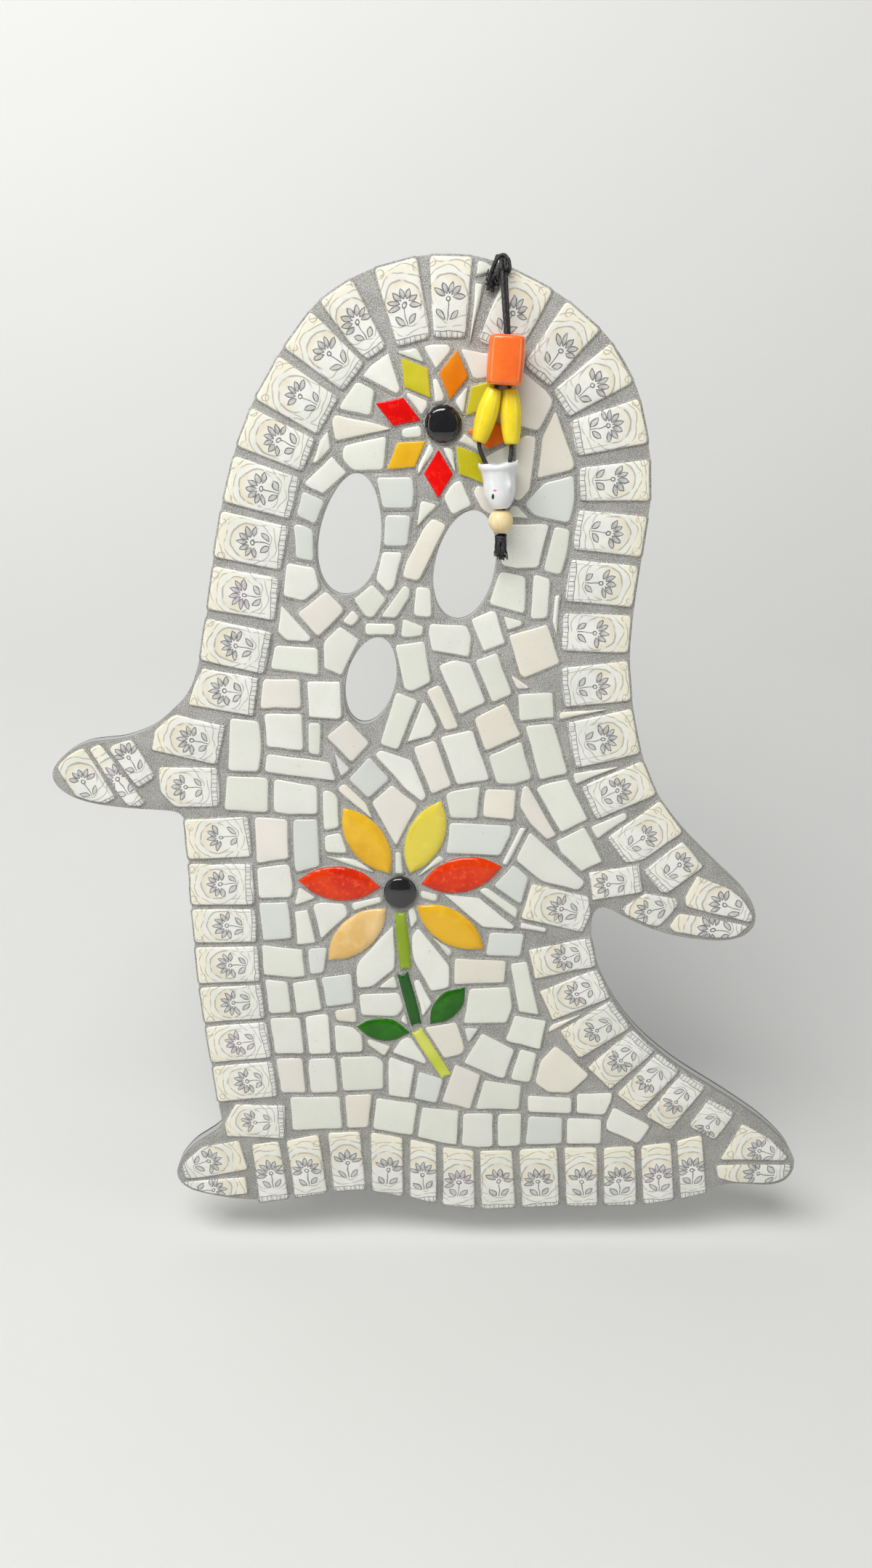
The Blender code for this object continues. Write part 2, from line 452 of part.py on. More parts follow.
def glass_pieces():
    """Every glass piece by name, with its colour and its outline in squares."""
    pieces = {}
    gem_radius = squares(GEM_DIAMETER) / 2
    for name, place in (("head_gem", HEAD_GEM), ("body_gem", BODY_GEM)):
        pieces[name] = ("gem", disc(place, squares(GEM_DIAMETER), 16))
    for i, (colour, bearing, turn, extra) in enumerate(DIAMONDS):
        reach = gem_radius + squares(GEM_TO_DIAMOND) + squares(DIAMOND_LENGTH) / 2 + extra
        place = Vector(HEAD_GEM) + Vector((cos(radians(bearing)), sin(radians(bearing)))) * reach
        pieces[f"diamond_{i + 1}"] = (colour, diamond(place, bearing + turn, squares(DIAMOND_LENGTH),
                                                      squares(DIAMOND_WIDTH)))
    for i, (colour, bearing, turn, extra) in enumerate(PETALS):
        reach = gem_radius + squares(GEM_TO_PETAL) + squares(PETAL_LENGTH) / 2 + extra
        place = Vector(BODY_GEM) + Vector((cos(radians(bearing)), sin(radians(bearing)))) * reach
        pieces[f"petal_{i + 1}"] = (colour, lens(place, bearing + turn, squares(PETAL_LENGTH),
                                                 squares(PETAL_WIDTH)))
    for i, (place, turn) in enumerate(LEAVES):
        pieces[f"leaf_{i + 1}"] = ("leaf", lens(place, turn, squares(LEAF_LENGTH), squares(LEAF_WIDTH), 4))
    for i, (colour, start, end) in enumerate(STICKS):
        pieces[f"stem_{i + 1}"] = (colour, stick(start, end, squares(STICK_WIDTH)))
    return pieces


def nearest(loop, point):
    return min(range(len(loop)), key=lambda i: (loop[i] - Vector(point)).length)


def edge_tiles(edge, start, end, depth, inset, upright, widths):
    """Printed tiles laid side by side along the edge, narrower inwards where the edge bulges."""
    fine = []
    for p, q in zip(edge, edge[1:] + edge[:1]):
        fine += [p.lerp(q, k / 8) for k in range(8)]
    first, last = nearest(fine, start), nearest(fine, end)
    run = fine[first:last + 1] if first <= last else fine[first:] + fine[:last + 1]
    stations = [0.0]
    for p, q in zip(run, run[1:]):
        stations.append(stations[-1] + (q - p).length)

    def along(s):
        i = 0
        while i < len(run) - 2 and stations[i + 1] < s:
            i += 1
        return run[i].lerp(run[i + 1], (s - stations[i]) / max(stations[i + 1] - stations[i], 1e-9))

    gap = (stations[-1] - sum(widths)) / (len(widths) - 1)
    tiles = []
    s = 0.0
    for width in widths:
        p, q = along(s), along(s + width)
        chord = (q - p).normalized()
        inward = Vector((-chord.y, chord.x)).lerp(Vector(UPRIGHT), upright).normalized()
        # The edge's turn over twice the tile's width says how much narrower its inner end is.
        before = (along(s + width / 2) - along(max(s - width / 2, 0.0))).normalized()
        after = (along(min(s + 1.5 * width, stations[-1])) - along(s + width / 2)).normalized()
        turn = before.x * after.y - before.y * after.x
        taper = min(max(turn * (1 - upright), 0.0), 0.3) * depth * 0.4
        p, q = p + inward * inset, q + inward * inset
        tiles.append([p, q, q + inward * depth - chord * taper, p + inward * depth + chord * taper])
        s += width + gap
    return tiles


def part_tiles(mine, other, joint, other_gives):
    """Trims tile mine, and tile other by half if it gives, so that a joint is left between them."""
    gap, normal = widest_gap(mine, other)
    if gap >= joint:
        return mine, other
    need = joint - gap
    reach = max(normal.dot(p) for p in mine)
    share = 0.5 if other_gives else 1.0
    mine = cut(mine, normal, reach - need * share)
    if other_gives:
        start = min(normal.dot(p) for p in other)
        other = cut(other, -normal, -(start + need * 0.5))
    return mine, other


def lay_tiles(edge, openings, glass):
    """All crockery as convex outlines in squares: printed tiles first, then plain ones."""
    chance = Random(7)
    printed = []
    trimmed = []
    for run in EDGE_RUNS:
        printed += edge_tiles(edge, *run)
    for tile in LOOSE_PRINTS:
        trimmed.append(len(printed))
        printed.append(block(*tile))
    printed += [shard(points) for points in PRINTED_SHARDS]
    plain = []
    for centre, turn, height, lengths in COURSES:
        along = Vector((cos(radians(turn)), sin(radians(turn))))
        across = Vector((-along.y, along.x))
        total = sum(lengths) + JOINT * (len(lengths) - 1)
        s = -total / 2
        for length in lengths:
            place = Vector(centre) + along * (s + length / 2)
            tile = block(place, turn, length, height)
            nip = 0.06 * min(length, height)
            plain.append([p + Vector((chance.uniform(-nip, nip), chance.uniform(-nip, nip))) for p in tile])
            s += length + JOINT
    plain += [shard(points) for points in SHARDS]

    tiles = printed + plain
    first_plain = len(printed)
    for i in range(len(tiles)):
        if i in trimmed or i >= first_plain:
            tiles[i] = keep_inside(tiles[i], edge)
        for outline, joint in [(o, OPENING_RIM) for o in openings] + [(o, GLASS_JOINT) for o in glass]:
            if len(tiles[i]) > 2:
                tiles[i], _ = part_tiles(tiles[i], outline, joint, False)
    for i in range(len(tiles)):
        for j in range(i + 1, len(tiles)):
            if len(tiles[i]) > 2 and len(tiles[j]) > 2 and close(tiles[i], tiles[j]):
                if i < first_plain <= j:
                    tiles[j], _ = part_tiles(tiles[j], tiles[i], JOINT, False)
                else:
                    tiles[i], tiles[j] = part_tiles(tiles[i], tiles[j], JOINT, True)
    tiles = [tidy(tile) for tile in tiles]
    printed = [tile for tile in tiles[:first_plain] if len(tile) > 2 and area(tile) > SMALLEST_TILE]
    plain = [tile for tile in tiles[first_plain:] if len(tile) > 2 and area(tile) > SMALLEST_TILE]
    set_pieces = [(tile, JOINT) for tile in printed]
    set_pieces += [(o, OPENING_RIM) for o in openings] + [(o, GLASS_JOINT) for o in glass]
    return [(tile, True) for tile in printed] + [(tile, False) for tile in spread(plain, set_pieces, edge)]


def spread(plain, set_pieces, edge):
    """Plain pieces widened into the room round them, a joint away from whatever lies next to them."""
    spread_tiles = []
    for i, tile in enumerate(plain):
        wide = swell(tile, SPREAD)
        for j, other in enumerate(plain):
            if i != j and close(tile, other):
                gap, normal = widest_gap(tile, other)
                wide = cut(wide, normal, max(normal.dot(p) for p in tile) + (gap - JOINT) / 2)
        for outline, joint in set_pieces:
            gap, normal = widest_gap(tile, outline)
            if gap < SPREAD + joint:
                wide = cut(wide, normal, max(normal.dot(p) for p in tile) + max(gap - joint, 0))
        spread_tiles.append(tidy(keep_inside(wide, edge), SHORTEST_NIP))
    return spread_tiles


def close(a, b):
    reach = max(hypot(*(p - a[0])) for p in a) + max(hypot(*(p - b[0])) for p in b) + JOINT + 2 * SPREAD
    return (a[0] - b[0]).length < reach


def keep_inside(tile, edge):
    """The tile cut back where it would pass the edge of the board nearby."""
    centre = sum(tile, Vector((0, 0))) / len(tile)
    reach = max((p - centre).length for p in tile)
    for p, q in zip(edge, edge[1:] + edge[:1]):
        if len(tile) < 3 or ((p + q) / 2 - centre).length > reach:
            continue
        normal = Vector(((q - p).y, -(q - p).x)).normalized()
        limit = normal.dot(p) - EDGE_RIM
        if normal.dot(centre) < limit:
            tile = cut(tile, normal, limit)
    return tile


def make_object(name, mesh, colour_name):
    item = bpy.data.objects.new(name, mesh)
    bpy.context.collection.objects.link(item)
    if colour_name:
        material = bpy.data.materials.get(colour_name)
        if material is None:
            material = bpy.data.materials.new(colour_name)
            material.use_nodes = True
            colour, roughness = COLOURS[colour_name]
            shader = material.node_tree.nodes["Principled BSDF"]
            shader.inputs["Base Color"].default_value = colour
            shader.inputs["Roughness"].default_value = roughness
        mesh.materials.append(material)
    return item


def add_slab(bm, outline, back, front, crown=()):
    """Adds a closed slab between two depths; each crown step insets the front face and raises it."""
    verts = [bm.verts.new(on_face(p, back)) for p in outline]
    face = bm.faces.new(verts)
    # Seen from -Y the outline runs counter-clockwise, so this face looks to the front.
    result = bmesh.ops.extrude_face_region(bm, geom=[face])
    moved = [g for g in result["geom"] if isinstance(g, bmesh.types.BMVert)]
    bmesh.ops.translate(bm, verts=moved, vec=Vector((0, back - front, 0)))
    top = [g for g in result["geom"] if isinstance(g, bmesh.types.BMFace)][0]
    for inset, rise in crown:
        bmesh.ops.inset_individual(bm, faces=[top], thickness=inset, depth=rise)
    return verts


def slab_object(name, outlines, back, front, colour_name=None, crown=()):
    bm = bmesh.new()
    for outline in outlines:
        add_slab(bm, outline, back, front, crown)
    bmesh.ops.recalc_face_normals(bm, faces=bm.faces)
    mesh = bpy.data.meshes.new(name)
    bm.to_mesh(mesh)
    bm.free()
    return make_object(name, mesh, colour_name)


def cutter(name, outlines, back, front):
    item = slab_object(name, outlines, back, front)
    item.hide_render = True
    item.display_type = "WIRE"
    return item


def add_boolean(target, tool, operation):
    modifier = target.modifiers.new(tool.name, "BOOLEAN")
    modifier.operation = operation
    modifier.solver = "EXACT"
    modifier.use_self = True
    modifier.object = tool


def turned(bm, profile, sides):
    """Turns a profile of (radius, height) round Z; one that starts on the axis is left open there."""
    verts = [bm.verts.new((radius, 0, height)) for radius, height in profile]
    last = len(verts) if profile[0][0] else len(verts) - 1
    edges = [bm.edges.new((verts[i], verts[(i + 1) % len(verts)])) for i in range(last)]
    bmesh.ops.spin(bm, geom=verts + edges, cent=(0, 0, 0), axis=(0, 0, 1), angle=2 * pi, steps=sides,
                   use_merge=True)
    bmesh.ops.remove_doubles(bm, verts=bm.verts, dist=0.00001)


def finish_body(bm, name, colour_name, place=None):
    """Makes an object of the mesh, facing out, at its place on the cord."""
    bmesh.ops.recalc_face_normals(bm, faces=bm.faces)
    if bm.calc_volume(signed=True) < 0:
        bmesh.ops.reverse_faces(bm, faces=bm.faces)
    if place:
        point, depth, lean = place
        bm.transform(Matrix.Translation(on_face(point, depth)) @ Matrix.Rotation(radians(lean), 4, "Y"))
    mesh = bpy.data.meshes.new(name)
    bm.to_mesh(mesh)
    bm.free()
    mesh.shade_smooth()
    return make_object(name, mesh, colour_name)


def bead(name, profile, sides, place):
    bm = bmesh.new()
    turned(bm, profile, sides)
    colour_name = "oval_bead" if name.startswith("oval") else name
    return finish_body(bm, name, colour_name, place)


def make_barrel():
    """A four-sided barrel with rounded corners and a wide bore."""
    half, top, rounding = BARREL_WIDTH / 2, BARREL_HEIGHT / 2, 0.0017
    bore = BARREL_BORE / 2
    outer = [(half * 0.66, top), (half - rounding, top - 0.0002), (half - 0.0004, top - rounding)]
    profile = outer + [(half, 0)] + [(radius, -height) for radius, height in reversed(outer)]
    bm = bmesh.new()
    turned(bm, profile + [(bore, -top), (bore, top)], 16)
    for v in bm.verts:
        if hypot(v.co.x, v.co.y) > bore * 1.1:
            turn = atan2(v.co.y, v.co.x)
            stretch = (abs(cos(turn)) ** 3.6 + abs(sin(turn)) ** 3.6) ** (-1 / 3.6)
            v.co.x *= stretch
            v.co.y *= stretch
    finish_body(bm, "barrel_bead", "barrel_bead", BARREL_PLACE)


def make_beads():
    make_barrel()
    oval = []
    for k in range(7):
        t = k / 3 - 1
        oval.append((OVAL_DIAMETER / 2 * (1 - (1 - OVAL_END) * t * t), -t * OVAL_LENGTH / 2))
    oval += [(OVAL_BORE / 2, -OVAL_LENGTH / 2), (OVAL_BORE / 2, OVAL_LENGTH / 2)]
    bead("oval_bead_left", oval, 12, OVAL_LEFT)
    bead("oval_bead_right", oval, 12, OVAL_RIGHT)

    pair_bore = STRAND_SPREAD / 2 + CORD_DIAMETER / 2 + CORD_CLEARANCE
    wide, tall, hem = GHOST_DIAMETER / 2, GHOST_HEIGHT / 2, GHOST_HEM / 2
    # Hangs head down: the open hem is at the top and the head's hole at the bottom.
    head = ((1.0, 0.08), (0.94, -0.33), (0.80, -0.67), (0.58, -0.90))
    outer = [(hem, tall), (hem * 0.90, tall * 0.82), (wide * 1.02, tall * 0.5)]
    outer += [(wide * radius, tall * height) for radius, height in head]
    inner = [(wide * radius - GHOST_WALL, tall * height + GHOST_WALL * (1 - radius))
             for radius, height in head[:3]]
    inner = [(pair_bore * 1.1, GHOST_WALL - tall)] + inner[::-1]
    inner += [(wide * 1.02 - GHOST_WALL, tall * 0.5), (hem - GHOST_WALL * 0.6, tall)]
    bead("ghost_bead", outer + [(pair_bore * 1.1, -tall)] + inner, 14, GHOST_PLACE)

    ball = []
    for k in range(7):
        angle = radians(62 - 124 * k / 6)
        ball.append((WOOD_DIAMETER / 2 * cos(angle), WOOD_DIAMETER / 2 * sin(angle)))
    ball += [(pair_bore, ball[-1][1]), (pair_bore, ball[0][1])]
    bead("wood_bead", ball, 12, WOOD_PLACE)


def tube(name, path, closed=False, turns=None):
    """A round cord along the path; turns gives the direction of each ring's first point."""
    bm = bmesh.new()
    sides = 6
    rings = []
    for i, centre in enumerate(path):
        after = path[(i + 1) % len(path)] if closed or i < len(path) - 1 else centre
        before = path[i - 1] if closed or i > 0 else centre
        along = (after - before).normalized()
        first = (turns[i] if turns else Vector((1, 0, 0)).cross(along)).normalized()
        second = along.cross(first).normalized()
        first = second.cross(along)
        rings.append([bm.verts.new(centre + CORD_DIAMETER / 2 * (
            first * cos(2 * pi * k / sides) + second * sin(2 * pi * k / sides))) for k in range(sides)])
    pairs = list(zip(rings, rings[1:])) + ([(rings[-1], rings[0])] if closed else [])
    for ring, following in pairs:
        for k in range(sides):
            bm.faces.new((ring[k], ring[(k + 1) % sides], following[(k + 1) % sides], following[k]))
    if not closed:
        bm.faces.new(rings[0])
        bm.faces.new(rings[-1][::-1])
    return finish_body(bm, name, "cord")


def make_cord():
    """The hitch through the board's hole and over its edge, the two strands and the knot below them."""
    radius = CORD_DIAMETER / 2
    front = BOARD_THICK + TOUCH_GAP + PRINTED_THICK + radius + TOUCH_GAP
    back = -(radius + TOUCH_GAP)
    hole = on_face(CORD_HOLE_PLACE)
    low = hole.z + CORD_HOLE / 2 - radius - TOUCH_GAP
    edge = smooth_loop(OUTLINE, 8)
    lean = squares(0.0026)
    above = min(edge, key=lambda p: abs(p.x - CORD_HOLE_PLACE[0] - lean) + (0 if p.y > 150 else 1000))
    high = on_face(above).z + radius + 2 * TOUCH_GAP
    bend = radius * 1.6
    path = []
    turns = []
    for depth, height, quarter in ((front - bend, high - bend, 0), (back + bend, high - bend, 1),
                                   (back + bend, low + bend, 2), (front - bend, low + bend, 3)):
        for k in range(4):
            angle = pi / 2 * (quarter + k / 3)
            turn = Vector((0, -cos(angle), sin(angle)))
            place = Vector((hole.x, -depth, height)) + turn * bend
            place.x += lean * SQUARE * (place.z - low) / (high - low)
            path.append(place)
            turns.append(turn)
    hitch = tube("cord_hitch", path, True, turns)
    start = STRAND_LEFT[0]
    wide, tall = STRAND_SPREAD * 0.5 + radius * 1.3, CORD_DIAMETER
    collar = bmesh.new()
    turned(collar, [(0, tall), (wide * 0.8, tall * 0.85), (wide, 0), (wide * 0.8, -tall * 0.85),
                    (0, -tall)], 10)
    middle = (start[2] + STRAND_RIGHT[0][2]) / 2
    place = ((start[0] - 0.5, start[1] + squares(tall + TOUCH_GAP)), middle, 0)
    collar = finish_body(collar, "cord_collar", None, place)
    collar.hide_render = True
    collar.display_type = "WIRE"
    add_boolean(hitch, collar, "UNION")

    for name, points in (("cord_left", STRAND_LEFT), ("cord_right", STRAND_RIGHT)):
        route = [on_face(p[:2], p[2]) for p in points]
        tube(name, smooth_path(route, CORD_DIAMETER * 2.4))
    knot = KNOT_DIAMETER / 2
    tassel = bmesh.new()
    turned(tassel, [(0, knot * 0.8), (knot * 0.7, knot * 0.75), (knot, knot * 0.4), (knot, -knot * 0.4),
                    (knot * 0.6, -knot), (knot * 0.95, -TASSEL_LENGTH * 0.92), (0, -TASSEL_LENGTH)], 10)
    finish_body(tassel, "tassel", "cord", KNOT_PLACE)


def main():
    for item in list(bpy.data.objects):
        bpy.data.objects.remove(item, do_unlink=True)
    edge = smooth_loop(OUTLINE, OUTLINE_STEPS)
    openings = [egg(*values) for values in OPENINGS.values()]
    hole = disc(CORD_HOLE_PLACE, squares(CORD_HOLE), 12)
    pieces = glass_pieces()
    glass = [outline for _, outline in pieces.values()]
    tiles = lay_tiles(edge, openings + [hole], glass)

    grout_back = BOARD_THICK + TOUCH_GAP
    grout_front = grout_back + GROUT_THICK
    through = 0.002

    board = slab_object("board", [edge], 0, BOARD_THICK, "board")
    cuts = cutter("board_openings", openings + [hole], -through, BOARD_THICK + through)
    add_boolean(board, cuts, "DIFFERENCE")

    mosaic = slab_object("mosaic", [edge], grout_back, grout_front, "mosaic")
    pockets = [swell(outline, squares(TOUCH_GAP)) for outline in glass]
    cuts = cutter("mosaic_openings", openings + [hole] + pockets, grout_back - through, grout_front + through)
    add_boolean(mosaic, cuts, "DIFFERENCE")
    for name, is_print, thick in (("plain_tiles", False, CROCKERY_THICK),
                                  ("printed_tiles", True, PRINTED_THICK)):
        outlines = [tile for tile, printed in tiles if printed == is_print]
        layer = cutter(name, outlines, grout_back + TOUCH_GAP, grout_back + thick)
        add_boolean(mosaic, layer, "UNION")

    for name, (colour, outline) in pieces.items():
        back = grout_back + TOUCH_GAP
        if colour == "gem":
            rise = GEM_CROWN
            crown = ((rise * 0.35, rise * 0.55), (rise * 0.9, rise * 0.33), (rise * 0.9, rise * 0.12))
            thick = GLASS_THICK + 0.0002
        elif name.startswith("petal"):
            thick, crown = GLASS_THICK - 0.0004, ((0.0012, 0.0005), (0.0022, 0.0003))
        else:
            thick, crown = GLASS_THICK - 0.0002, ((0.0007, 0.0003),)
        slab_object(name, [outline], back, grout_back + thick, colour, crown)
    make_beads()
    make_cord()


main()
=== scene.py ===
from functools import reduce
from math import atan2, cos, exp, hypot, pi, radians, sin
from random import Random

import bmesh
import bpy
from mathutils import Matrix, Vector, noise


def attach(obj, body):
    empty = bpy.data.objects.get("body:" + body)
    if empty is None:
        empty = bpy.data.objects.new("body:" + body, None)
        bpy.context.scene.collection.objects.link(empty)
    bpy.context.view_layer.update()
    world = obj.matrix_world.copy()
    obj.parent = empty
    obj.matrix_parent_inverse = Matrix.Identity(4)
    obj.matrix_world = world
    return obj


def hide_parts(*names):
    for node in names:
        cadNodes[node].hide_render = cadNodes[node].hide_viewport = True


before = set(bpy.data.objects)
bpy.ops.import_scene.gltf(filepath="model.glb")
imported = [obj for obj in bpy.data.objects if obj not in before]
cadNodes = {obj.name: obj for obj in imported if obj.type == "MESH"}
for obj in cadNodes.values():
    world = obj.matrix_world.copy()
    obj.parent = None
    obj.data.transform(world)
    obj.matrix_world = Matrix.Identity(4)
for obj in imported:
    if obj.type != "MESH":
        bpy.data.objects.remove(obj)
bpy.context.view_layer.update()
scene = bpy.context.scene
print("frame loaded:", len(cadNodes), "nodes")


def newObject(name, data):
    made = bpy.data.objects.new(name, data)
    scene.collection.objects.link(made)
    return made


def meshFrom(name, bm):
    mesh = bpy.data.meshes.new(name)
    bm.to_mesh(mesh)
    bm.free()
    return mesh


# camera: the photograph looks a little down on the hanging ghost
photoView = {"place": (0.0, -0.5252, -0.0326), "target": (0.0, -0.0105, -0.190), "lens": 27.2}
cameraData = bpy.data.cameras.new("photoCamera")
cameraData.lens = photoView["lens"]
cameraData.sensor_width = 36
cameraData.clip_start = 0.01
camera = newObject("photoCamera", cameraData)
camera.location = photoView["place"]
camera.rotation_euler = (Vector(photoView["target"]) - camera.location).to_track_quat("-Z", "Y").to_euler()
scene.camera = camera


# small helpers for meshes
def onFace(x, z, depth=0.0):  # millimetres right of the middle, up from the hanging point, out from the back
    return Vector((x, -depth, z)) * 0.001


def addPiece(name, bm, material, replaced=(), smooth=True):
    mesh = meshFrom(name, bm)
    if smooth:
        mesh.shade_smooth()
    mesh.materials.append(material)
    piece = newObject(name, mesh)
    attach(piece, "root")
    if replaced:
        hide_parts(*replaced)
    return piece


def joinInto(target, source):  # adds one finished bmesh to another
    mesh = meshFrom("part", source)
    target.from_mesh(mesh)
    bpy.data.meshes.remove(mesh)


def curvePoint(a, b, c, d, t):  # on the smooth curve from b to c
    return 0.5 * (2 * b + (c - a) * t + (2 * a - 5 * b + 4 * c - d) * t ** 2
                  + (3 * b - a - 3 * c + d) * t ** 3)


def only(made, kind):
    return [g for g in made if isinstance(g, kind)]


def smoothPath(points, spacing=0.0007):
    ends = [2 * points[0] - points[1], *points, 2 * points[-1] - points[-2]]
    fine = [curvePoint(a, b, c, d, k / 16) for a, b, c, d in zip(ends, ends[1:], ends[2:], ends[3:])
            for k in range(16)]
    fine.append(points[-1])
    lengths = [0.0]
    for p, q in zip(fine, fine[1:]):
        lengths.append(lengths[-1] + (q - p).length)
    count = max(2, round(lengths[-1] / spacing))
    path, i = [], 0
    for k in range(count + 1):
        want = lengths[-1] * k / count
        while i < len(fine) - 2 and lengths[i + 1] < want:
            i += 1
        path.append(fine[i].lerp(fine[i + 1], (want - lengths[i]) / max(lengths[i + 1] - lengths[i], 1e-9)))
    return path


def facePath(points, spacing=0.0007):  # the same through points given as for onFace
    return smoothPath([onFace(*p) for p in points], spacing)


def pathLength(path):
    return sum((q - p).length for p, q in zip(path, path[1:]))


def ropeAlong(path, radius, sides=12, ply=3, depth=0.12, twist=0.0026, closed=False, taper=None):
    # a ring with a lobe for each ply is extruded from point to point, turning as it goes
    count = len(path)
    tangents = []
    for i in range(count):
        after = path[(i + 1) % count] if closed or i < count - 1 else path[i]
        before = path[i - 1] if closed or i else path[i]
        tangents.append((after - before).normalized())
    turn = Vector((0, 0, 1)).rotation_difference(tangents[0])
    frames = []
    walked = 0.0
    for i in range(count):
        if i:
            turn = tangents[i - 1].rotation_difference(tangents[i]) @ turn
            walked += (path[i] - path[i - 1]).length
        spin = Matrix.Rotation(2 * pi * walked / (twist * ply), 4, "Z")
        size = Matrix.Scale(taper(i / (count - 1)) if taper else 1.0, 4)
        frames.append(Matrix.Translation(path[i]) @ turn.to_matrix().to_4x4() @ spin @ size)
    bm = bmesh.new()
    ring = bmesh.ops.create_circle(bm, segments=sides, radius=radius)["verts"]
    for v in ring:
        v.co *= 1 - depth * (0.5 - 0.5 * cos(ply * atan2(v.co.y, v.co.x)))
    bmesh.ops.transform(bm, matrix=frames[0], verts=ring)
    firstEdges = bm.edges[:]
    edges = firstEdges
    for i in range(1, count):
        made = bmesh.ops.extrude_edge_only(bm, edges=edges)["geom"]
        edges = only(made, bmesh.types.BMEdge)
        bmesh.ops.transform(bm, matrix=frames[i] @ frames[i - 1].inverted(), verts=only(made, bmesh.types.BMVert))
    if closed:
        bmesh.ops.bridge_loops(bm, edges=firstEdges + edges)
    else:
        bmesh.ops.holes_fill(bm, edges=firstEdges)
        bmesh.ops.holes_fill(bm, edges=edges)
    bmesh.ops.recalc_face_normals(bm, faces=bm.faces)
    return bm


def turned(profile, steps):  # a closed profile of (radius, height) spun round Z; on the axis it is left open
    bm = bmesh.new()
    verts = [bm.verts.new((r, 0, h)) for r, h in profile]
    last = len(verts) if profile[0][0] > 0 else len(verts) - 1
    edges = [bm.edges.new((verts[i], verts[(i + 1) % len(verts)])) for i in range(last)]
    bmesh.ops.spin(bm, geom=verts + edges, cent=(0, 0, 0), axis=(0, 0, 1), angle=2 * pi, steps=steps,
                   use_merge=True)
    bmesh.ops.remove_doubles(bm, verts=bm.verts, dist=0.000005)
    bmesh.ops.recalc_face_normals(bm, faces=bm.faces)
    if bm.calc_volume(signed=True) < 0:
        bmesh.ops.reverse_faces(bm, faces=bm.faces)
    return bm


# small helpers for materials; the sockets they are given tell them which tree to work in
def linear(tone):  # from a colour as seen, 0 to 255; a socket stays as it is
    if not isinstance(tone, tuple):
        return tone
    return tuple(c / 255 / 12.92 if c <= 10 else ((c / 255 + 0.055) / 1.055) ** 2.4 for c in tone) + (1,)


def feed(socket, value):  # a fixed value, or another node's output
    if isinstance(value, bpy.types.NodeSocket):
        socket.id_data.links.new(value, socket)
    else:
        socket.default_value = value


def calc(operation, *values):
    tree = next(v.id_data for v in values if isinstance(v, bpy.types.NodeSocket))
    node = tree.nodes.new("ShaderNodeMath")
    node.operation = operation
    for socket, value in zip(node.inputs, values):
        feed(socket, value)
    return node.outputs[0]


def chained(operation):  # takes any number of values, two at a time
    return lambda *values: reduce(lambda a, b: calc(operation, a, b), values)


times, plus, minus, most = map(chained, ("MULTIPLY", "ADD", "SUBTRACT", "MAXIMUM"))


def away(across, up):  # how far from the middle
    return calc("SQRT", plus(times(across, across), times(up, up)))


def blendColour(factor, first, second):
    node = factor.id_data.nodes.new("ShaderNodeMix")
    node.data_type = "RGBA"
    for number, value in ((0, factor), (6, linear(first)), (7, linear(second))):
        feed(node.inputs[number], value)
    return node.outputs[2]


def speckle(place, scale, detail=2.0, roughness=0.5, distortion=0.0):
    node = place.id_data.nodes.new("ShaderNodeTexNoise")
    for label, value in (("Vector", place), ("Scale", scale), ("Detail", detail), ("Roughness", roughness),
                         ("Distortion", distortion)):
        feed(node.inputs[label], value)
    return node.outputs[0]


def remap(value, low, high, toLow=0.0, toHigh=1.0):
    node = value.id_data.nodes.new("ShaderNodeMapRange")
    node.interpolation_type = "SMOOTHSTEP"
    for number, setting in enumerate((value, low, high, toLow, toHigh)):
        feed(node.inputs[number], setting)
    return node.outputs[0]


def bumped(height, strength, distance):
    node = height.id_data.nodes.new("ShaderNodeBump")
    for label, value in (("Strength", strength), ("Distance", distance), ("Height", height)):
        feed(node.inputs[label], value)
    return node.outputs[0]


def axesOf(place):
    node = place.id_data.nodes.new("ShaderNodeSeparateXYZ")
    feed(node.inputs[0], place)
    return node.outputs


def attributeOf(place, name):
    node = place.id_data.nodes.new("ShaderNodeAttribute")
    node.attribute_name = name
    return node.outputs


def setFinish(shader, **values):  # the shader's own inputs, with _ for a space
    for key, value in values.items():
        feed(shader.inputs[key.replace("_", " ")], value)


def startMaterial(name, roughness, coat=0.0, **settings):
    material = bpy.data.materials.new(name)
    material.use_nodes = True
    nodes = material.node_tree.nodes
    shader = nodes["Principled BSDF"]
    setFinish(shader, Roughness=roughness, Coat_Weight=coat, Coat_Roughness=0.04, **settings)
    return material, shader, nodes.new("ShaderNodeTexCoord").outputs["Object"]


def startGroup(name, inputs, outputs):
    group = bpy.data.node_groups.new(name, "ShaderNodeTree")
    for label, kind, value in inputs:
        socket = group.interface.new_socket(label, in_out="INPUT", socket_type="NodeSocket" + kind)
        if value is not None:
            socket.default_value = value
    for label, kind in outputs:
        group.interface.new_socket(label, in_out="OUTPUT", socket_type="NodeSocket" + kind)
    return group, group.nodes.new("NodeGroupInput").outputs, group.nodes.new("NodeGroupOutput").inputs


def placeGroup(group, values):
    node = values["Place"].id_data.nodes.new("ShaderNodeGroup")
    node.node_tree = group
    for label, value in values.items():
        feed(node.inputs[label], value)
    return node.outputs


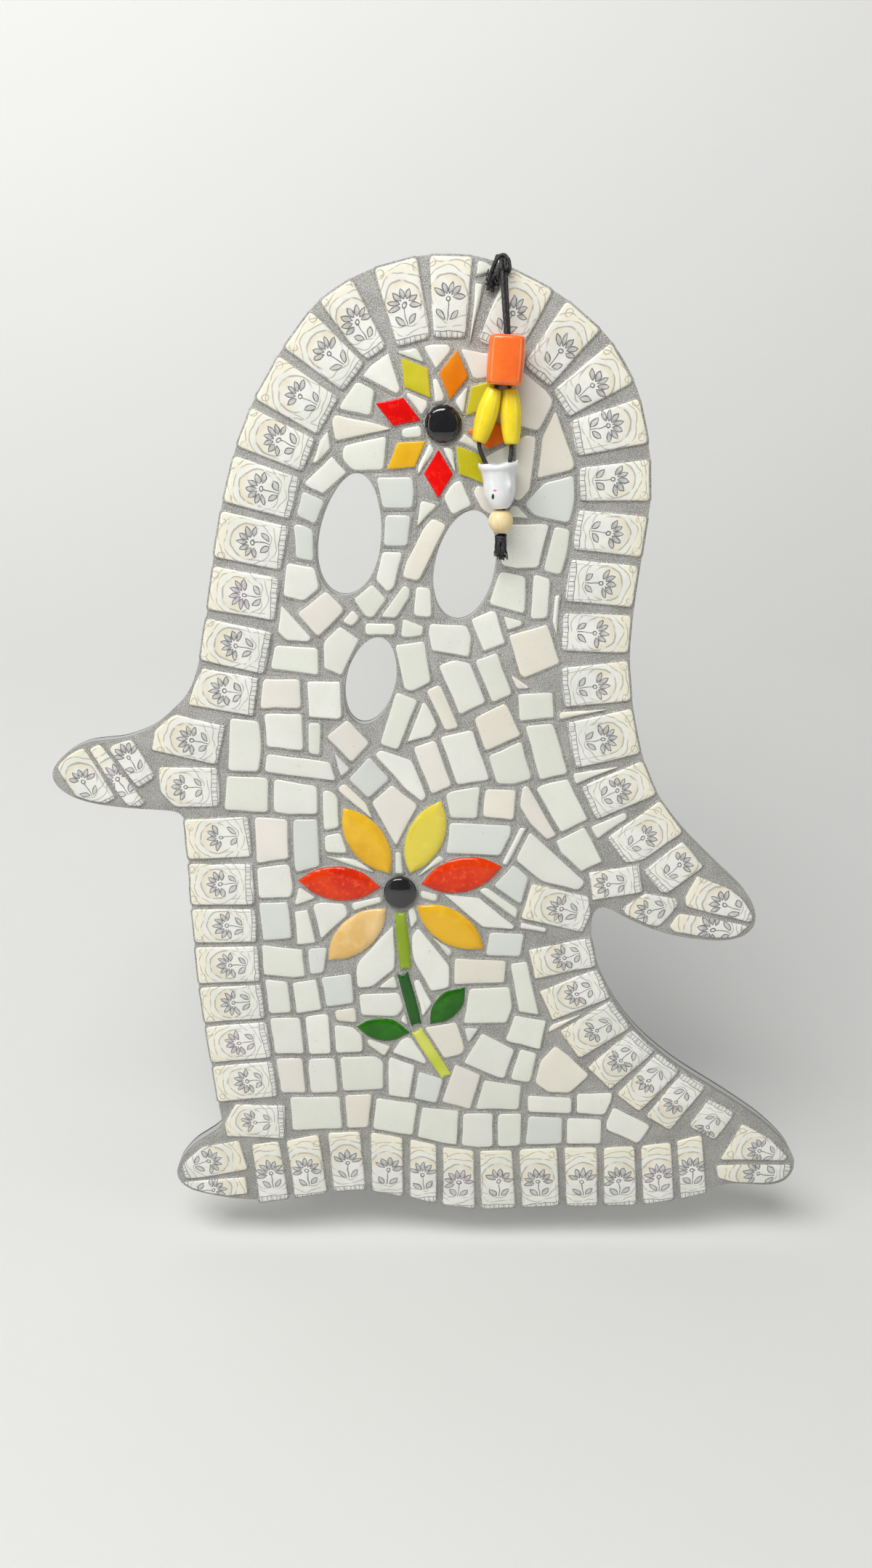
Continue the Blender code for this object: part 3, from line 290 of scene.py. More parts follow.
# shared effects
def makeToneDrift():  # slow drift between two colours with fine mottling
    group, given, out = startGroup(
        "toneDrift",
        [("Place", "Vector", None), ("First", "Color", (1, 1, 1, 1)), ("Second", "Color", (0, 0, 0, 1)),
         ("Scale", "Float", 60.0), ("Amount", "Float", 1.0)],
        [("Color", "Color"), ("Height", "Float")])
    wide = speckle(given["Place"], given["Scale"], 3)
    fine = speckle(given["Place"], times(given["Scale"], 9.0), 2)
    both = plus(times(wide, 0.75), times(fine, 0.25))
    mask = times(remap(both, 0.36, 0.64), given["Amount"])
    feed(out["Color"], blendColour(mask, given["First"], given["Second"]))
    feed(out["Height"], both)
    return group


toneDrift = makeToneDrift()


def drift(place, first, second, scale, amount=1.0):
    return placeGroup(toneDrift, {"Place": place, "First": linear(first), "Second": linear(second),
                                  "Scale": scale, "Amount": amount})


def almond(along, across, length, halfWidth):  # distance to the rim of a pointed leaf, and the share along it
    t = calc("DIVIDE", along, length)
    width = times(t, minus(1.0, t), 4 * halfWidth)
    return minus(calc("ABSOLUTE", across), width), t


def strokeOf(off, half, soft=0.16):  # ink where the distance is small
    return remap(calc("ABSOLUTE", off), half + soft, half - soft * 0.3)


# millimetres and degrees
printLayout = {"flower": 14.6, "ring": 0.8, "petalStart": 2.1, "petal": 4.5, "petalWidth": 0.95, "spread": 33,
               "leafBase": 7.5, "leafStart": 1.0, "leaf": 4.6, "leafWidth": 1.05, "leafTurn": 44, "line": 0.2,
               "archRise": 2.1, "arch": 7.3, "archGap": 2.7, "curl": (7.0, 27.6, 1.5), "sides": 7.5,
               "band": (0.5, 3.0), "cell": 1.05}


def makeBorderPrint():  # a painted sprig under an arch: x across the tile, y up from its foot
    lay = printLayout
    group, given, out = startGroup(
        "borderPrint",
        [("Place", "Vector", None), ("World", "Vector", None), ("Variety", "Float", 0.5)],
        [("Ink", "Float"), ("Arches", "Float"), ("Wash", "Float"), ("Cream", "Float")])
    moved = group.nodes.new("ShaderNodeVectorMath")
    feed(moved.inputs[0], given["World"])
    feed(moved.inputs[1], (0.7, 0.3, 0.9))
    # the hand's shake, other for x than for y
    x, y = (plus(times(axis, 10.0), times(minus(speckle(place, 170, 1), 0.5), 2.0))
            for axis, place in zip(axesOf(given["Place"]), (given["World"], moved.outputs[0])))
    absX = calc("ABSOLUTE", x)
    up = minus(y, lay["flower"])
    reach = away(x, up)
    lean = times(minus(given["Variety"], 0.5), 0.5)
    angle = plus(calc("ARCTAN2", x, up), lean)
    # petals repeat round the ring, over its upper side
    sector = radians(lay["spread"])
    nearPetal = minus(calc("MODULO", plus(angle, sector * 20.5), sector), sector / 2)
    petalOff, petalT = almond(minus(times(reach, calc("COSINE", nearPetal)), lay["petalStart"]),
                              times(reach, calc("SINE", nearPetal)), lay["petal"], lay["petalWidth"])
    many = times(calc("GREATER_THAN", given["Variety"], 0.45), sector)
    fan = calc("LESS_THAN", calc("ABSOLUTE", angle), plus(many, sector * 2.5))
    petalLine = times(strokeOf(petalOff, lay["line"]), fan)
    petalFill = times(remap(petalOff, 0.05, -0.15), fan, remap(petalT, 1.0, 0.0, 0.28, 0.6))
    # two leaves mirrored on the stem
    leafX, leafY = minus(absX, lay["leafStart"]), minus(y, lay["leafBase"])
    turn = radians(lay["leafTurn"])
    leafOff, _ = almond(plus(times(leafX, sin(turn)), times(leafY, cos(turn))),
                        minus(times(leafX, cos(turn)), times(leafY, sin(turn))), lay["leaf"], lay["leafWidth"])
    leafLine = strokeOf(leafOff, lay["line"])
    leafFill = times(remap(leafOff, 0.05, -0.15), 0.35)
    stemSpan = times(calc("GREATER_THAN", y, lay["leafBase"] - 0.4), calc("LESS_THAN", y, lay["flower"] - 0.9))
    stem = times(strokeOf(x, 0.15), stemSpan)
    ring = strokeOf(minus(reach, lay["ring"]), 0.2)
    # a ladder of squares along the foot
    foot, head = lay["band"]
    rails = most(strokeOf(minus(y, foot), 0.12), strokeOf(minus(y, head), 0.14))
    inBand = times(calc("GREATER_THAN", y, foot), calc("LESS_THAN", y, head))
    rungs = times(strokeOf(calc("PINGPONG", x, lay["cell"]), 0.12), inBand)
    filled = times(calc("GREATER_THAN", calc("PINGPONG", x, lay["cell"] * 2), lay["cell"]), inBand)
    ladder = most(rails, rungs, times(filled, 0.25))
    ink = most(petalLine, petalFill, leafLine, leafFill, stem, ring, times(ladder, 0.85))
    grain = remap(speckle(given["World"], 700, 2), 0.3, 0.55, 0.75, 1.0)
    feed(out["Ink"], times(ink, grain))
    # arches over the sprig, wavier further out, and curls in the corners
    rise = minus(up, lay["archRise"])
    arch = away(x, rise)
    wave = times(calc("SINE", times(angle, 6.0)), 0.5)
    innerArch = times(strokeOf(minus(arch, lay["arch"]), 0.2, 0.3), remap(rise, -6.0, -2.5))
    nextArch = strokeOf(plus(minus(arch, lay["arch"] + lay["archGap"]), wave), 0.15, 0.2)
    lastArch = strokeOf(minus(arch, lay["arch"] + lay["archGap"] * 1.9, wave), 0.12, 0.2)
    curlX, curlY, curlSize = lay["curl"]
    curls = strokeOf(minus(away(minus(absX, curlX), minus(y, curlY)), curlSize), 0.12, 0.2)
    sides = times(strokeOf(minus(absX, lay["sides"]), 0.1, 0.2), remap(y, 17, 14))
    patchy = remap(speckle(given["World"], 260, 1), 0.36, 0.5, 0.15, 1.0)
    feed(out["Arches"], times(most(innerArch, nextArch, lastArch, curls, sides), patchy))
    inside = times(remap(arch, 2.8, 6.8), remap(arch, lay["arch"] + 0.3, lay["arch"] - 0.1))
    blotch = remap(speckle(given["World"], 110, 2), 0.36, 0.58, 0.35, 1.0)
    feed(out["Wash"], times(inside, blotch, remap(rise, -4, 1.5)))
    feed(out["Cream"], times(remap(arch, lay["arch"] + 0.5, 11.5), remap(rise, -2, 4)))
    return group


borderPrint = makeBorderPrint()
print("shared effects ready")


# the two strands of the cord, along the same points as the solids
cordLook = {"diameter": 0.0019, "body": (22, 21, 22), "second": (46, 44, 44), "worn": (78, 76, 74)}


def makeCordMaterial():
    material, shader, place = startMaterial("waxedCord", 0.52)
    shade = drift(place, cordLook["body"], cordLook["second"], 500.0)
    flecks = times(remap(speckle(place, 1900, 1), 0.56, 0.66), 0.75)
    setFinish(shader, Base_Color=blendColour(flecks, shade["Color"], cordLook["worn"]),
              Normal=bumped(speckle(place, 1800, 2), 0.5, 0.0003))
    return material


waxedCord = makeCordMaterial()
strandLeft = {"name": "strandLeft", "node": "cord_left", "points": (
    (26.3, 24.9, 15.0), (26.7, 18, 16.3), (27.4, 9, 18.4), (28.0, 1, 19.5), (27.7, -4, 19.6), (27.0, -9, 19.2),
    (26.0, -14.5, 18.7), (24.85, -18, 18.6), (23.85, -20.6, 18.5), (22.6, -24, 18.4), (20.65, -30.1, 18.4),
    (18.7, -37, 18.4), (17.75, -40.7, 18.4), (18.3, -44.2, 18.6), (19.8, -47.7, 19.0), (21.3, -50.5, 19.3),
    (22.9, -55, 19.3), (24.2, -60, 19.3), (25.6, -65, 19.1), (25.95, -68, 18.9), (25.95, -72.4, 18.6),
    (25.95, -77.1, 18.6))}
strandRight = {"name": "strandRight", "node": "cord_right", "points": (
    (27.7, 24.9, 13.9), (28.1, 18, 15.0), (28.6, 9, 16.9), (29.1, 1, 17.8), (29.1, -4, 17.5), (29.2, -9, 17.7),
    (29.4, -14.5, 17.9), (29.7, -18, 17.7), (29.95, -20.6, 17.3), (30.3, -24, 17.1), (30.65, -30.6, 17.0),
    (31.0, -37, 17.1), (31.1, -41.6, 17.3), (31.0, -44.6, 17.8), (30.6, -48, 18.4), (30.2, -51.5, 19.0),
    (29.8, -55, 19.2), (29.2, -60, 19.3), (28.35, -65, 19.1), (28.15, -68, 18.9), (28.15, -72.4, 18.6),
    (28.15, -77.1, 18.6))}


def makeStrand(strand):
    strand["path"] = facePath(strand["points"])
    bm = ropeAlong(strand["path"], cordLook["diameter"] / 2)
    return addPiece(strand["name"], bm, waxedCord, (strand["node"],))


leftCord = makeStrand(strandLeft)
rightCord = makeStrand(strandRight)
print("strands", round(pathLength(strandLeft["path"]), 4), round(pathLength(strandRight["path"]), 4))


# the hitch: a doubled bight through the hole and over the board's edge, closed over the strands
hitchLook = {
    "legs": ((22.4, 2.2, 1.2), (24.35, 3.2, 0.0)),  # start, lean and bow to the side
    "low": 22.25, "high": 30.6, "front": 11.95, "back": -1.25, "bend": 1.52,
    "legRadius": 0.00092, "archRadius": 0.00078, "endRadius": 0.00082, "fibreRadius": 0.00032,
    "arch": ((22.4, 24.6, 12.7), (23.4, 28.0, 13.1), (25.5, 30.5, 13.4), (27.1, 30.75, 13.6), (28.6, 29.4, 13.8),
             (29.3, 27.2, 13.9), (29.2, 25.0, 13.4), (28.4, 23.9, 12.4)),
    "tops": (((26.0, 24.9, 15.1), (25.9, 26.8, 14.9), (26.0, 28.6, 14.0), (26.2, 29.9, 12.4)),
             ((27.9, 24.9, 14.6), (27.6, 26.8, 14.6), (27.4, 28.6, 13.9), (27.3, 29.9, 12.4))),
    "cutEnds": (((23.0, 20.6, 6.0), (22.7, 20.4, 10.6), (22.0, 19.8, 12.9)),
                ((24.1, 20.6, 6.0), (24.2, 20.4, 10.6), (24.7, 20.0, 12.7)),
                ((22.6, 21.0, 8.0), (22.3, 20.5, 10.7), (21.2, 19.2, 11.5), (20.8, 18.0, 11.7)),
                ((23.3, 20.4, 8.0), (23.2, 19.9, 10.8), (22.9, 18.5, 11.2), (22.6, 17.5, 11.6)),
                ((22.5, 21.6, 8.0), (22.1, 21.4, 10.8), (20.9, 20.6, 11.5), (20.3, 19.8, 11.6)),
                ((22.5, 22.0, 8.0), (22.0, 22.2, 10.9), (20.9, 22.1, 11.6), (20.4, 21.4, 11.6))),
    "frayedEnds": (((21.6, 23.4, 12.4), (20.9, 21.6, 13.0), (20.5, 19.4, 12.8)),
                   ((22.0, 22.4, 12.8), (21.5, 20.6, 13.4), (21.6, 18.9, 13.0)),
                   ((23.6, 21.8, 12.8), (23.9, 20.4, 13.3), (24.6, 19.6, 12.6)),
                   ((24.3, 22.6, 12.6), (25.0, 21.2, 13.2), (25.3, 20.2, 12.8)),
                   ((21.0, 25.6, 12.4), (20.3, 23.6, 12.8), (20.2, 21.4, 12.4)),
                   ((21.8, 23.8, 13.0), (21.3, 22.0, 13.6), (21.0, 20.2, 13.2)),
                   ((22.6, 22.8, 12.9), (22.3, 20.9, 13.3), (22.6, 19.2, 12.9)),
                   ((22.9, 24.0, 12.8), (23.2, 22.3, 13.3), (23.0, 20.6, 13.0)))}
looseFibre = {"sides": 6, "ply": 2, "depth": 0.1, "twist": 0.004}


def clamped(value):
    return min(max(value, 0), 1)


def makeHitch():
    look = hitchLook
    bend = look["bend"]
    low, high, front, back = look["low"] + bend, look["high"] - bend, look["front"] - bend, look["back"] + bend
    bm = bmesh.new()
    for start, lean, bow in look["legs"]:
        points = []
        for quarter, (depth, height) in enumerate(((front, high), (back, high), (back, low), (front, low))):
            for k in range(5):
                angle = pi / 2 * (quarter + k / 4)
                z = height + bend * sin(angle)
                rise = (z - look["low"]) / (look["high"] - look["low"])
                out = depth + bend * cos(angle)
                points.append(onFace(start + lean * rise - bow * (1 - rise) * clamped((out - 10.4) / 1.5), z, out))
        path = []
        for p, q in zip(points, points[1:] + points[:1]):
            pieces = max(1, round((q - p).length / 0.0008))
            path += [p.lerp(q, k / pieces) for k in range(pieces)]
        joinInto(bm, ropeAlong(path, look["legRadius"], closed=True))
    ropes = [(look["arch"], look["archRadius"])]
    ropes += [(top, cordLook["diameter"] / 2) for top in look["tops"]]
    ropes += [(end, look["endRadius"]) for end in look["cutEnds"]]
    for points, radius in ropes:
        joinInto(bm, ropeAlong(facePath(points), radius))
    for end in look["frayedEnds"]:
        joinInto(bm, ropeAlong(facePath(end, 0.0005), look["fibreRadius"], taper=lambda t: 1 - 0.7 * t,
                               **looseFibre))
    addPiece("hitchKnot", bm, waxedCord, ("cord_hitch",))


makeHitch()


# beads
beadPlaces = {"barrel": (28.0, -9.0, 18.7, 3.8), "ovalLeft": (20.65, -30.1, 18.4, 16.3),
              "ovalRight": (30.65, -30.6, 17.0, -2.8), "ghost": (26.3, -57.7, 19.3, -4.5),
              "wood": (27.05, -72.4, 18.6, 0.0), "knot": (27.2, -79.6, 18.6, 0.0)}


def hangBead(bm, key):
    x, z, depth, lean = beadPlaces[key]
    bmesh.ops.transform(bm, matrix=Matrix.Translation(onFace(x, z, depth)) @ Matrix.Rotation(radians(lean), 4, "Y"),
                        verts=bm.verts)
    return bm


barrelLook = {"width": 15.0, "height": 19.2, "bore": 7.6, "square": 4.2, "rounding": 1.9,
              "colour": (251, 122, 44), "second": (245, 108, 38)}


def makeBarrelBead():
    look = barrelLook
    material, shader, place = startMaterial("orangeBead", 0.16, 0.5, Subsurface_Weight=0.08,
                                            Subsurface_Radius=(0.004, 0.0015, 0.0006))
    shade = drift(place, look["colour"], look["second"], 120.0)
    setFinish(shader, Base_Color=shade["Color"], Normal=bumped(shade["Height"], 0.08, 0.0006))
    half, top, r = look["width"] / 2000, look["height"] / 2000, look["rounding"] / 1000
    bore = look["bore"] / 2000
    outer = [(bore, top - 0.0006), (bore + 0.0004, top - 0.0001), (half * 0.72, top)]
    for k in range(7):
        angle = pi / 2 * k / 6
        outer.append((half - 0.0002 - r + r * sin(angle), top - r + r * cos(angle)))
    bm = turned(outer + [(half, 0.002), (half, -0.002)] + [(a, -b) for a, b in reversed(outer)], 64)
    power = look["square"]
    for v in bm.verts:
        share = clamped((hypot(v.co.x, v.co.y) - bore * 1.1) / (half * 0.25))
        angle = atan2(v.co.y, v.co.x)
        stretch = (abs(cos(angle)) ** power + abs(sin(angle)) ** power) ** (-1 / power)
        v.co.x *= 1 + (stretch - 1) * share
        v.co.y *= 1 + (stretch - 1) * share
    return addPiece("orangeBarrelBead", hangBead(bm, "barrel"), material, ("barrel_bead",))


orangeBarrelBead = makeBarrelBead()

ovalLook = {"diameter": 8.8, "length": 21.8, "end": 0.66, "bore": 3.4, "colour": (246, 223, 40),
            "second": (236, 206, 34)}


def makeOvalBeads():
    look = ovalLook
    material, shader, place = startMaterial("yellowBead", 0.27, 0.2)
    shade = drift(place, look["colour"], look["second"], 110.0)
    setFinish(shader, Base_Color=shade["Color"], Normal=bumped(shade["Height"], 0.15, 0.0004))
    radius, half, bore = look["diameter"] / 2000, look["length"] / 2000, look["bore"] / 2000
    end = radius * look["end"]
    profile = [(bore, half - 0.0004), (bore + 0.0003, half), (end - 0.0004, half), (end, half - 0.0004)]
    for k in range(1, 24):
        t = k / 12 - 1
        profile.append((radius * (1 - (1 - look["end"]) * t * t), -t * half))
    profile += [(end, 0.0004 - half), (end - 0.0004, -half), (bore + 0.0003, -half), (bore, 0.0004 - half)]
    return [addPiece("yellowBead" + side, hangBead(turned(profile, 40), "oval" + side), material,
                     ("oval_bead_" + side.lower(),)) for side in ("Left", "Right")]


yellowBeads = makeOvalBeads()

# spots as place and half sizes
ghostLook = {"radius": 6.8, "hem": 8.4, "height": 19.2, "wall": 1.5, "waves": 6, "bore": 5.4,
             "eye": (-2.9, -4.4, 0.55, 1.15), "cheek": (-2.2, -1.9, 0.75, 0.38), "arm": (3.9, 0.2),
             "glaze": (242, 242, 240), "second": (228, 229, 230), "blush": (226, 120, 128), "black": (18, 18, 18)}


def makeGhostBead():
    look = ghostLook
    material, shader, place = startMaterial("whiteGlazedBead", 0.12, 0.4)
    axes = axesOf(place)
    x, z, depth, _ = beadPlaces["ghost"]

    def spot(data):  # an oval painted on the front
        across = calc("DIVIDE", minus(axes[0], (x + data[0]) / 1000), data[2] / 1000)
        along = calc("DIVIDE", minus(axes[2], (z + data[1]) / 1000), data[3] / 1000)
        return times(remap(away(across, along), 1.12, 0.88), calc("LESS_THAN", axes[1], -depth / 1000))

    body = drift(place, look["glaze"], look["second"], 140.0)
    colour = blendColour(spot(look["cheek"]), body["Color"], look["blush"])
    setFinish(shader, Base_Color=blendColour(spot(look["eye"]), colour, look["black"]),
              Normal=bumped(body["Height"], 0.1, 0.0005))
    r, hem, tall, wall = look["radius"] / 1000, look["hem"] / 1000, look["height"] / 2000, look["wall"] / 1000
    bore = look["bore"] / 2000
    outer = [(hem * 0.94, tall), (hem * 0.98, tall - 0.0004), (hem, tall - 0.0011), (hem * 0.995, tall - 0.0019),
             (hem * 0.965, tall - 0.0026), (hem * 0.92, tall - 0.0032)]
    outer += [(r * a, tall * b) for a, b in (
        (1.075, 0.58), (1.045, 0.46), (1.02, 0.3), (1.0, 0.14), (0.995, 0), (0.97, -0.22), (0.92, -0.42),
        (0.83, -0.62), (0.72, -0.78), (0.60, -0.90), (0.48, -0.975))]
    inner = [(bore + 0.0003, -tall), (bore, -tall + 0.0004), (bore, wall - tall), (r * 0.62, wall - tall * 0.86),
             (r * 0.75 - wall * 0.3, -tall * 0.5), (r * 0.95 - wall, -tall * 0.2), (r - wall, tall * 0.3),
             (r * 1.03 - wall, tall * 0.68), (hem * 0.93 - wall * 0.7, tall * 0.86), (hem * 0.87, tall - 0.0008),
             (hem * 0.9, tall - 0.0002)]
    bm = turned(outer + inner, 72)
    for v in bm.verts:
        angle = atan2(v.co.y, v.co.x)
        share = clamped((v.co.z / tall - 0.45) / 0.55) ** 1.6
        wave = 0.65 * cos(2 * angle) + 0.35 * cos(look["waves"] * angle + 0.6)
        v.co.z += (wave - 1) * 0.00065 * share
        grow = 1 + 0.025 * (wave - 1) * share
        v.co.x *= grow
        v.co.y *= grow
        # one stub arm stands out on its right side
        near = hypot(v.co.x * 1000 - look["arm"][0], v.co.z * 1000 - look["arm"][1])
        if v.co.y < 0 and hypot(v.co.x, v.co.y) > r * 0.9:
            v.co.y -= 0.0016 * exp(-(near / 1.05) ** 2)
            v.co.x += 0.0005 * exp(-(near / 1.05) ** 2)
    return addPiece("whiteGhostBead", hangBead(bm, "ghost"), material, ("ghost_bead",))


whiteGhostBead = makeGhostBead()

woodLook = {"diameter": 10.4, "bore": 4.9, "end": 62, "pale": (240, 222, 176), "second": (234, 210, 158),
            "dark": (222, 190, 134)}


def makeWoodBead():
    look = woodLook
    material, shader, place = startMaterial("turnedWood", 0.42)
    mapping = material.node_tree.nodes.new("ShaderNodeMapping")
    for label, value in (("Scale", (1.0, 1.0, 0.16)), ("Rotation", (0.3, 0.15, 0)), ("Vector", place)):
        feed(mapping.inputs[label], value)
    grain = speckle(mapping.outputs[0], 900, 3, 0.6, 0.6)
    shade = drift(place, look["pale"], look["second"], 160.0)
    setFinish(shader, Base_Color=blendColour(remap(grain, 0.5, 0.72, 0.0, 0.7), shade["Color"], look["dark"]),
              Normal=bumped(grain, 0.2, 0.0003))
    radius, bore = look["diameter"] / 2000, look["bore"] / 2000
    low = radius * sin(radians(look["end"]))
    profile = [(bore, low - 0.0004), (bore + 0.0003, low)]
    for k in range(25):
        angle = radians(look["end"] * (1 - k / 12))
        profile.append((radius * cos(angle), radius * sin(angle)))
    profile += [(bore + 0.0003, -low), (bore, 0.0004 - low)]
    profile[2] = (profile[2][0] + 0.00005, profile[2][1] - 0.0001)
    return addPiece("woodBead", hangBead(turned(profile, 48), "wood"), material, ("wood_bead",))


woodBead = makeWoodBead()

tasselLook = {"cords": 7, "cordRadius": 0.00092, "strands": 30, "length": 8.9, "seed": 4, "wrap": 0.00172,
              "wrapRadius": 0.00088, "coreRadius": 0.00135}


def makeTassel():
    look = tasselLook
    chance = Random(look["seed"])
    turns = []
    for k in range(45):
        angle = 2 * pi * k / 20
        turns.append(Vector((look["wrap"] * cos(angle), look["wrap"] * sin(angle), 0.0013 - 0.0026 * k / 44)))
    bm = ropeAlong(turns, look["wrapRadius"])
    core = [Vector((0, 0, 0.0021)), Vector((0, 0, 0.0)), Vector((0.0001, 0, -0.0026))]
    joinInto(bm, ropeAlong(core, look["coreRadius"], ply=2, depth=0.1, twist=0.004))
    for k in range(look["cords"]):
        angle = 2 * pi * k / (look["cords"] - 1)
        way = Vector((cos(angle), sin(angle), 0)) * (0.0018 if k else 0)
        end = -look["length"] * chance.uniform(0.62, 0.84) / 1000
        points = [way * 0.8 + Vector((0, 0, -0.001)), way + Vector((0, 0, -0.003)),
                  way * 1.08 + Vector((chance.uniform(-2, 4) * 0.0001, 0, end))]
        joinInto(bm, ropeAlong(smoothPath(points), look["cordRadius"], depth=0.14, taper=lambda t: 1 - 0.25 * t))
    for k in range(look["strands"]):
        angle = 2 * pi * k / look["strands"] + chance.uniform(-0.2, 0.2)
        way = Vector((cos(angle), sin(angle), 0)) * chance.uniform(0.6, 2.7) / 1000
        end = -look["length"] * chance.uniform(0.78, 1.0) / 1000
        points = [way * 0.6 + Vector((0, 0, -0.003)), way * 0.9 + Vector((0, 0, -0.0046)),
                  way + Vector((chance.uniform(-3, 5) * 0.0001, 0, end * 0.8)),
                  way * 0.95 + Vector((chance.uniform(-3, 9) * 0.0001, 0, end))]
        thick = chance.uniform(0.0003, 0.0005)
        joinInto(bm, ropeAlong(smoothPath(points), thick, taper=lambda t: 1 - 0.45 * t, **looseFibre))
    return addPiece("frayedTassel", hangBead(bm, "knot"), waxedCord, ("tassel",))


frayedTassel = makeTassel()
print("cord and beads made")


# outlines read from the frame's own solids
def flatOutlines(node, level, facing):  # every closed loop round the node's flat faces at that depth
    bm = bmesh.new()
    bm.from_mesh(cadNodes[node].data)
    bmesh.ops.remove_doubles(bm, verts=bm.verts, dist=0.00001)
    flat = dict.fromkeys(f for f in bm.faces if f.normal.y * facing > 0.99
                         and all(abs(v.co.y - level) < 0.00004 for v in f.verts))  # in the mesh's own order
    follow = {}
    for f in flat:
        for corner in f.loops:
            if not any(g in flat for g in corner.edge.link_faces if g is not f):
                follow.setdefault(corner.vert, []).append(corner.link_loop_next.vert)
    loops = []
    while follow:
        start = next(iter(follow))
        here, loop = start, []
        while here in follow:
            loop.append(Vector((here.co.x, here.co.z)))
            following = follow[here].pop()
            if not follow[here]:
                del follow[here]
            here = following
        loops.append(loop)
    bm.free()
    return loops


def loopArea(loop):
    return sum(p.x * q.y - q.x * p.y for p, q in zip(loop, loop[1:] + loop[:1])) / 2


def inThrees(loop):  # every point with the ones before and after it
    return zip(loop[-1:] + loop[:-1], loop, loop[1:] + loop[:1])


def withoutStraights(loop):  # drops points that lie in the middle of a straight side
    kept = []
    for before, p, after in inThrees(loop):
        a, b = (p - before).normalized(), (after - p).normalized()
        if abs(a.x * b.y - a.y * b.x) > 0.03 or a.dot(b) < 0:
            kept.append(p)
    return kept


def roundedLoop(loop, steps, sharp):  # a smooth curve through the points, broken at corners sharper than that
    count = len(loop)
    corner = []
    for i in range(count):
        a, b = (loop[i] - loop[i - 1]).normalized(), (loop[(i + 1) % count] - loop[i]).normalized()
        corner.append(a.dot(b) < cos(radians(sharp)))
    smooth = []
    for i in range(count):
        b, c = loop[i], loop[(i + 1) % count]
        a = 2 * b - c if corner[i] else loop[i - 1]
        d = 2 * c - b if corner[(i + 1) % count] else loop[(i + 2) % count]
        smooth += [curvePoint(a, b, c, d, k / steps) for k in range(steps)]
    return smooth


boardLoops = flatOutlines("board", 0.0, 1)
boardLoops.sort(key=lambda loop: -abs(loopArea(loop)))
plainOutlines = [withoutStraights(loop) for loop in flatOutlines("mosaic", -0.0105, -1)]
printedOutlines = [withoutStraights(loop) for loop in flatOutlines("mosaic", -0.0107, -1)]
print("outlines read:", len(boardLoops), "board,", len(plainOutlines), "plain,", len(printedOutlines), "printed")


def slabFrom(loops, back, front, rim, segments, steps=3):  # a slab with openings and softened rims
    bm = bmesh.new()
    edges = []
    for loop in loops:
        verts = [bm.verts.new((p.x, back, p.y)) for p in roundedLoop(loop, steps, 60)]
        edges += [bm.edges.new((v, verts[(i + 1) % len(verts)])) for i, v in enumerate(verts)]
    bmesh.ops.triangle_fill(bm, use_beauty=True, use_dissolve=False, edges=edges, normal=(0, 1, 0))
    made = bmesh.ops.extrude_face_region(bm, geom=bm.faces[:])["geom"]
    bmesh.ops.translate(bm, verts=only(made, bmesh.types.BMVert), vec=(0, front - back, 0))
    bmesh.ops.recalc_face_normals(bm, faces=bm.faces)
    for level, size in rim:
        chosen = [e for e in bm.edges if all(abs(v.co.y - level) < 1e-6 for v in e.verts)
                  and any(abs(f.normal.y) < 0.5 for f in e.link_faces)]
        bmesh.ops.bevel(bm, geom=chosen, offset=size, segments=segments, profile=0.5, affect="EDGES", material=-1,
                        clamp_overlap=True)
    return bm


# the board, with grout wiped over its edge
boardLook = {"thick": 0.006, "paint": (30, 29, 30), "second": (44, 43, 43), "worn": (92, 84, 74),
             "smear": (176, 178, 175), "smearFrom": -0.0009, "smearTo": -0.0021}


def makeBoard():
    look = boardLook
    material, shader, place = startMaterial("blackPaintedBoard", 0.55)
    shade = drift(place, look["paint"], look["second"], 45.0)
    scuffs = times(remap(speckle(place, 160, 5, 0.7), 0.66, 0.74), 0.5)
    smear = remap(axesOf(place)[1], look["smearFrom"], look["smearTo"])
    worn = blendColour(scuffs, shade["Color"], look["worn"])
    setFinish(shader, Base_Color=blendColour(smear, worn, look["smear"]),
              Roughness=remap(shade["Height"], 0.3, 0.7, 0.45, 0.68),
              Normal=bumped(speckle(place, 420, 4, 0.6), 0.35, 0.0004))
    bm = slabFrom(boardLoops, 0.0, -look["thick"], ((0.0, 0.0007), (-look["thick"], 0.0004)), 2)
    addPiece("paintedBoard", bm, material, ("board",), smooth=False)


makeBoard()


# crockery: every piece has softened corners, a glazed rim and a slight crown
flowerMiddles = ((3.0, -33.5), (-16.7, -243.0))  # millimetres, and so are the other marks on the face
jointLook = {"field": 0.0003, "flower": 0.00065, "near": 0.036}
plainTile = {"corner": 0.0016, "rim": 0.00085, "drop": 0.0007, "crown": 0.00012, "top": -0.0105, "foot": -0.0088,
             "steps": 3, "wander": 0.00038}
printedTile = {"corner": 0.0017, "rim": 0.0009, "drop": 0.0008, "crown": 0.00015, "top": -0.0107, "foot": -0.0088,
               "steps": 3, "wander": 0.00035}
noise.seed_set(21)  # the same wander in every run


def wandered(p, amount):  # hand-nipped edges wander a little
    field = noise.noise_vector(Vector((p.x, 0.37, p.z)) * 130)
    return Vector((p.x + field.x * amount, p.y, p.z + field.z * amount))


def longWay(outline):  # the direction along which the piece is longest
    best = (None, None)
    for k in range(36):
        way = Vector((cos(pi * k / 36), sin(pi * k / 36)))
        along = [p.dot(way) for p in outline]
        side = [p.x * way.y - p.y * way.x for p in outline]
        span = (max(along) - min(along)) - 1.2 * (max(side) - min(side))
        if best[0] is None or span > best[0]:
            best = (span, way)
    return best[1]


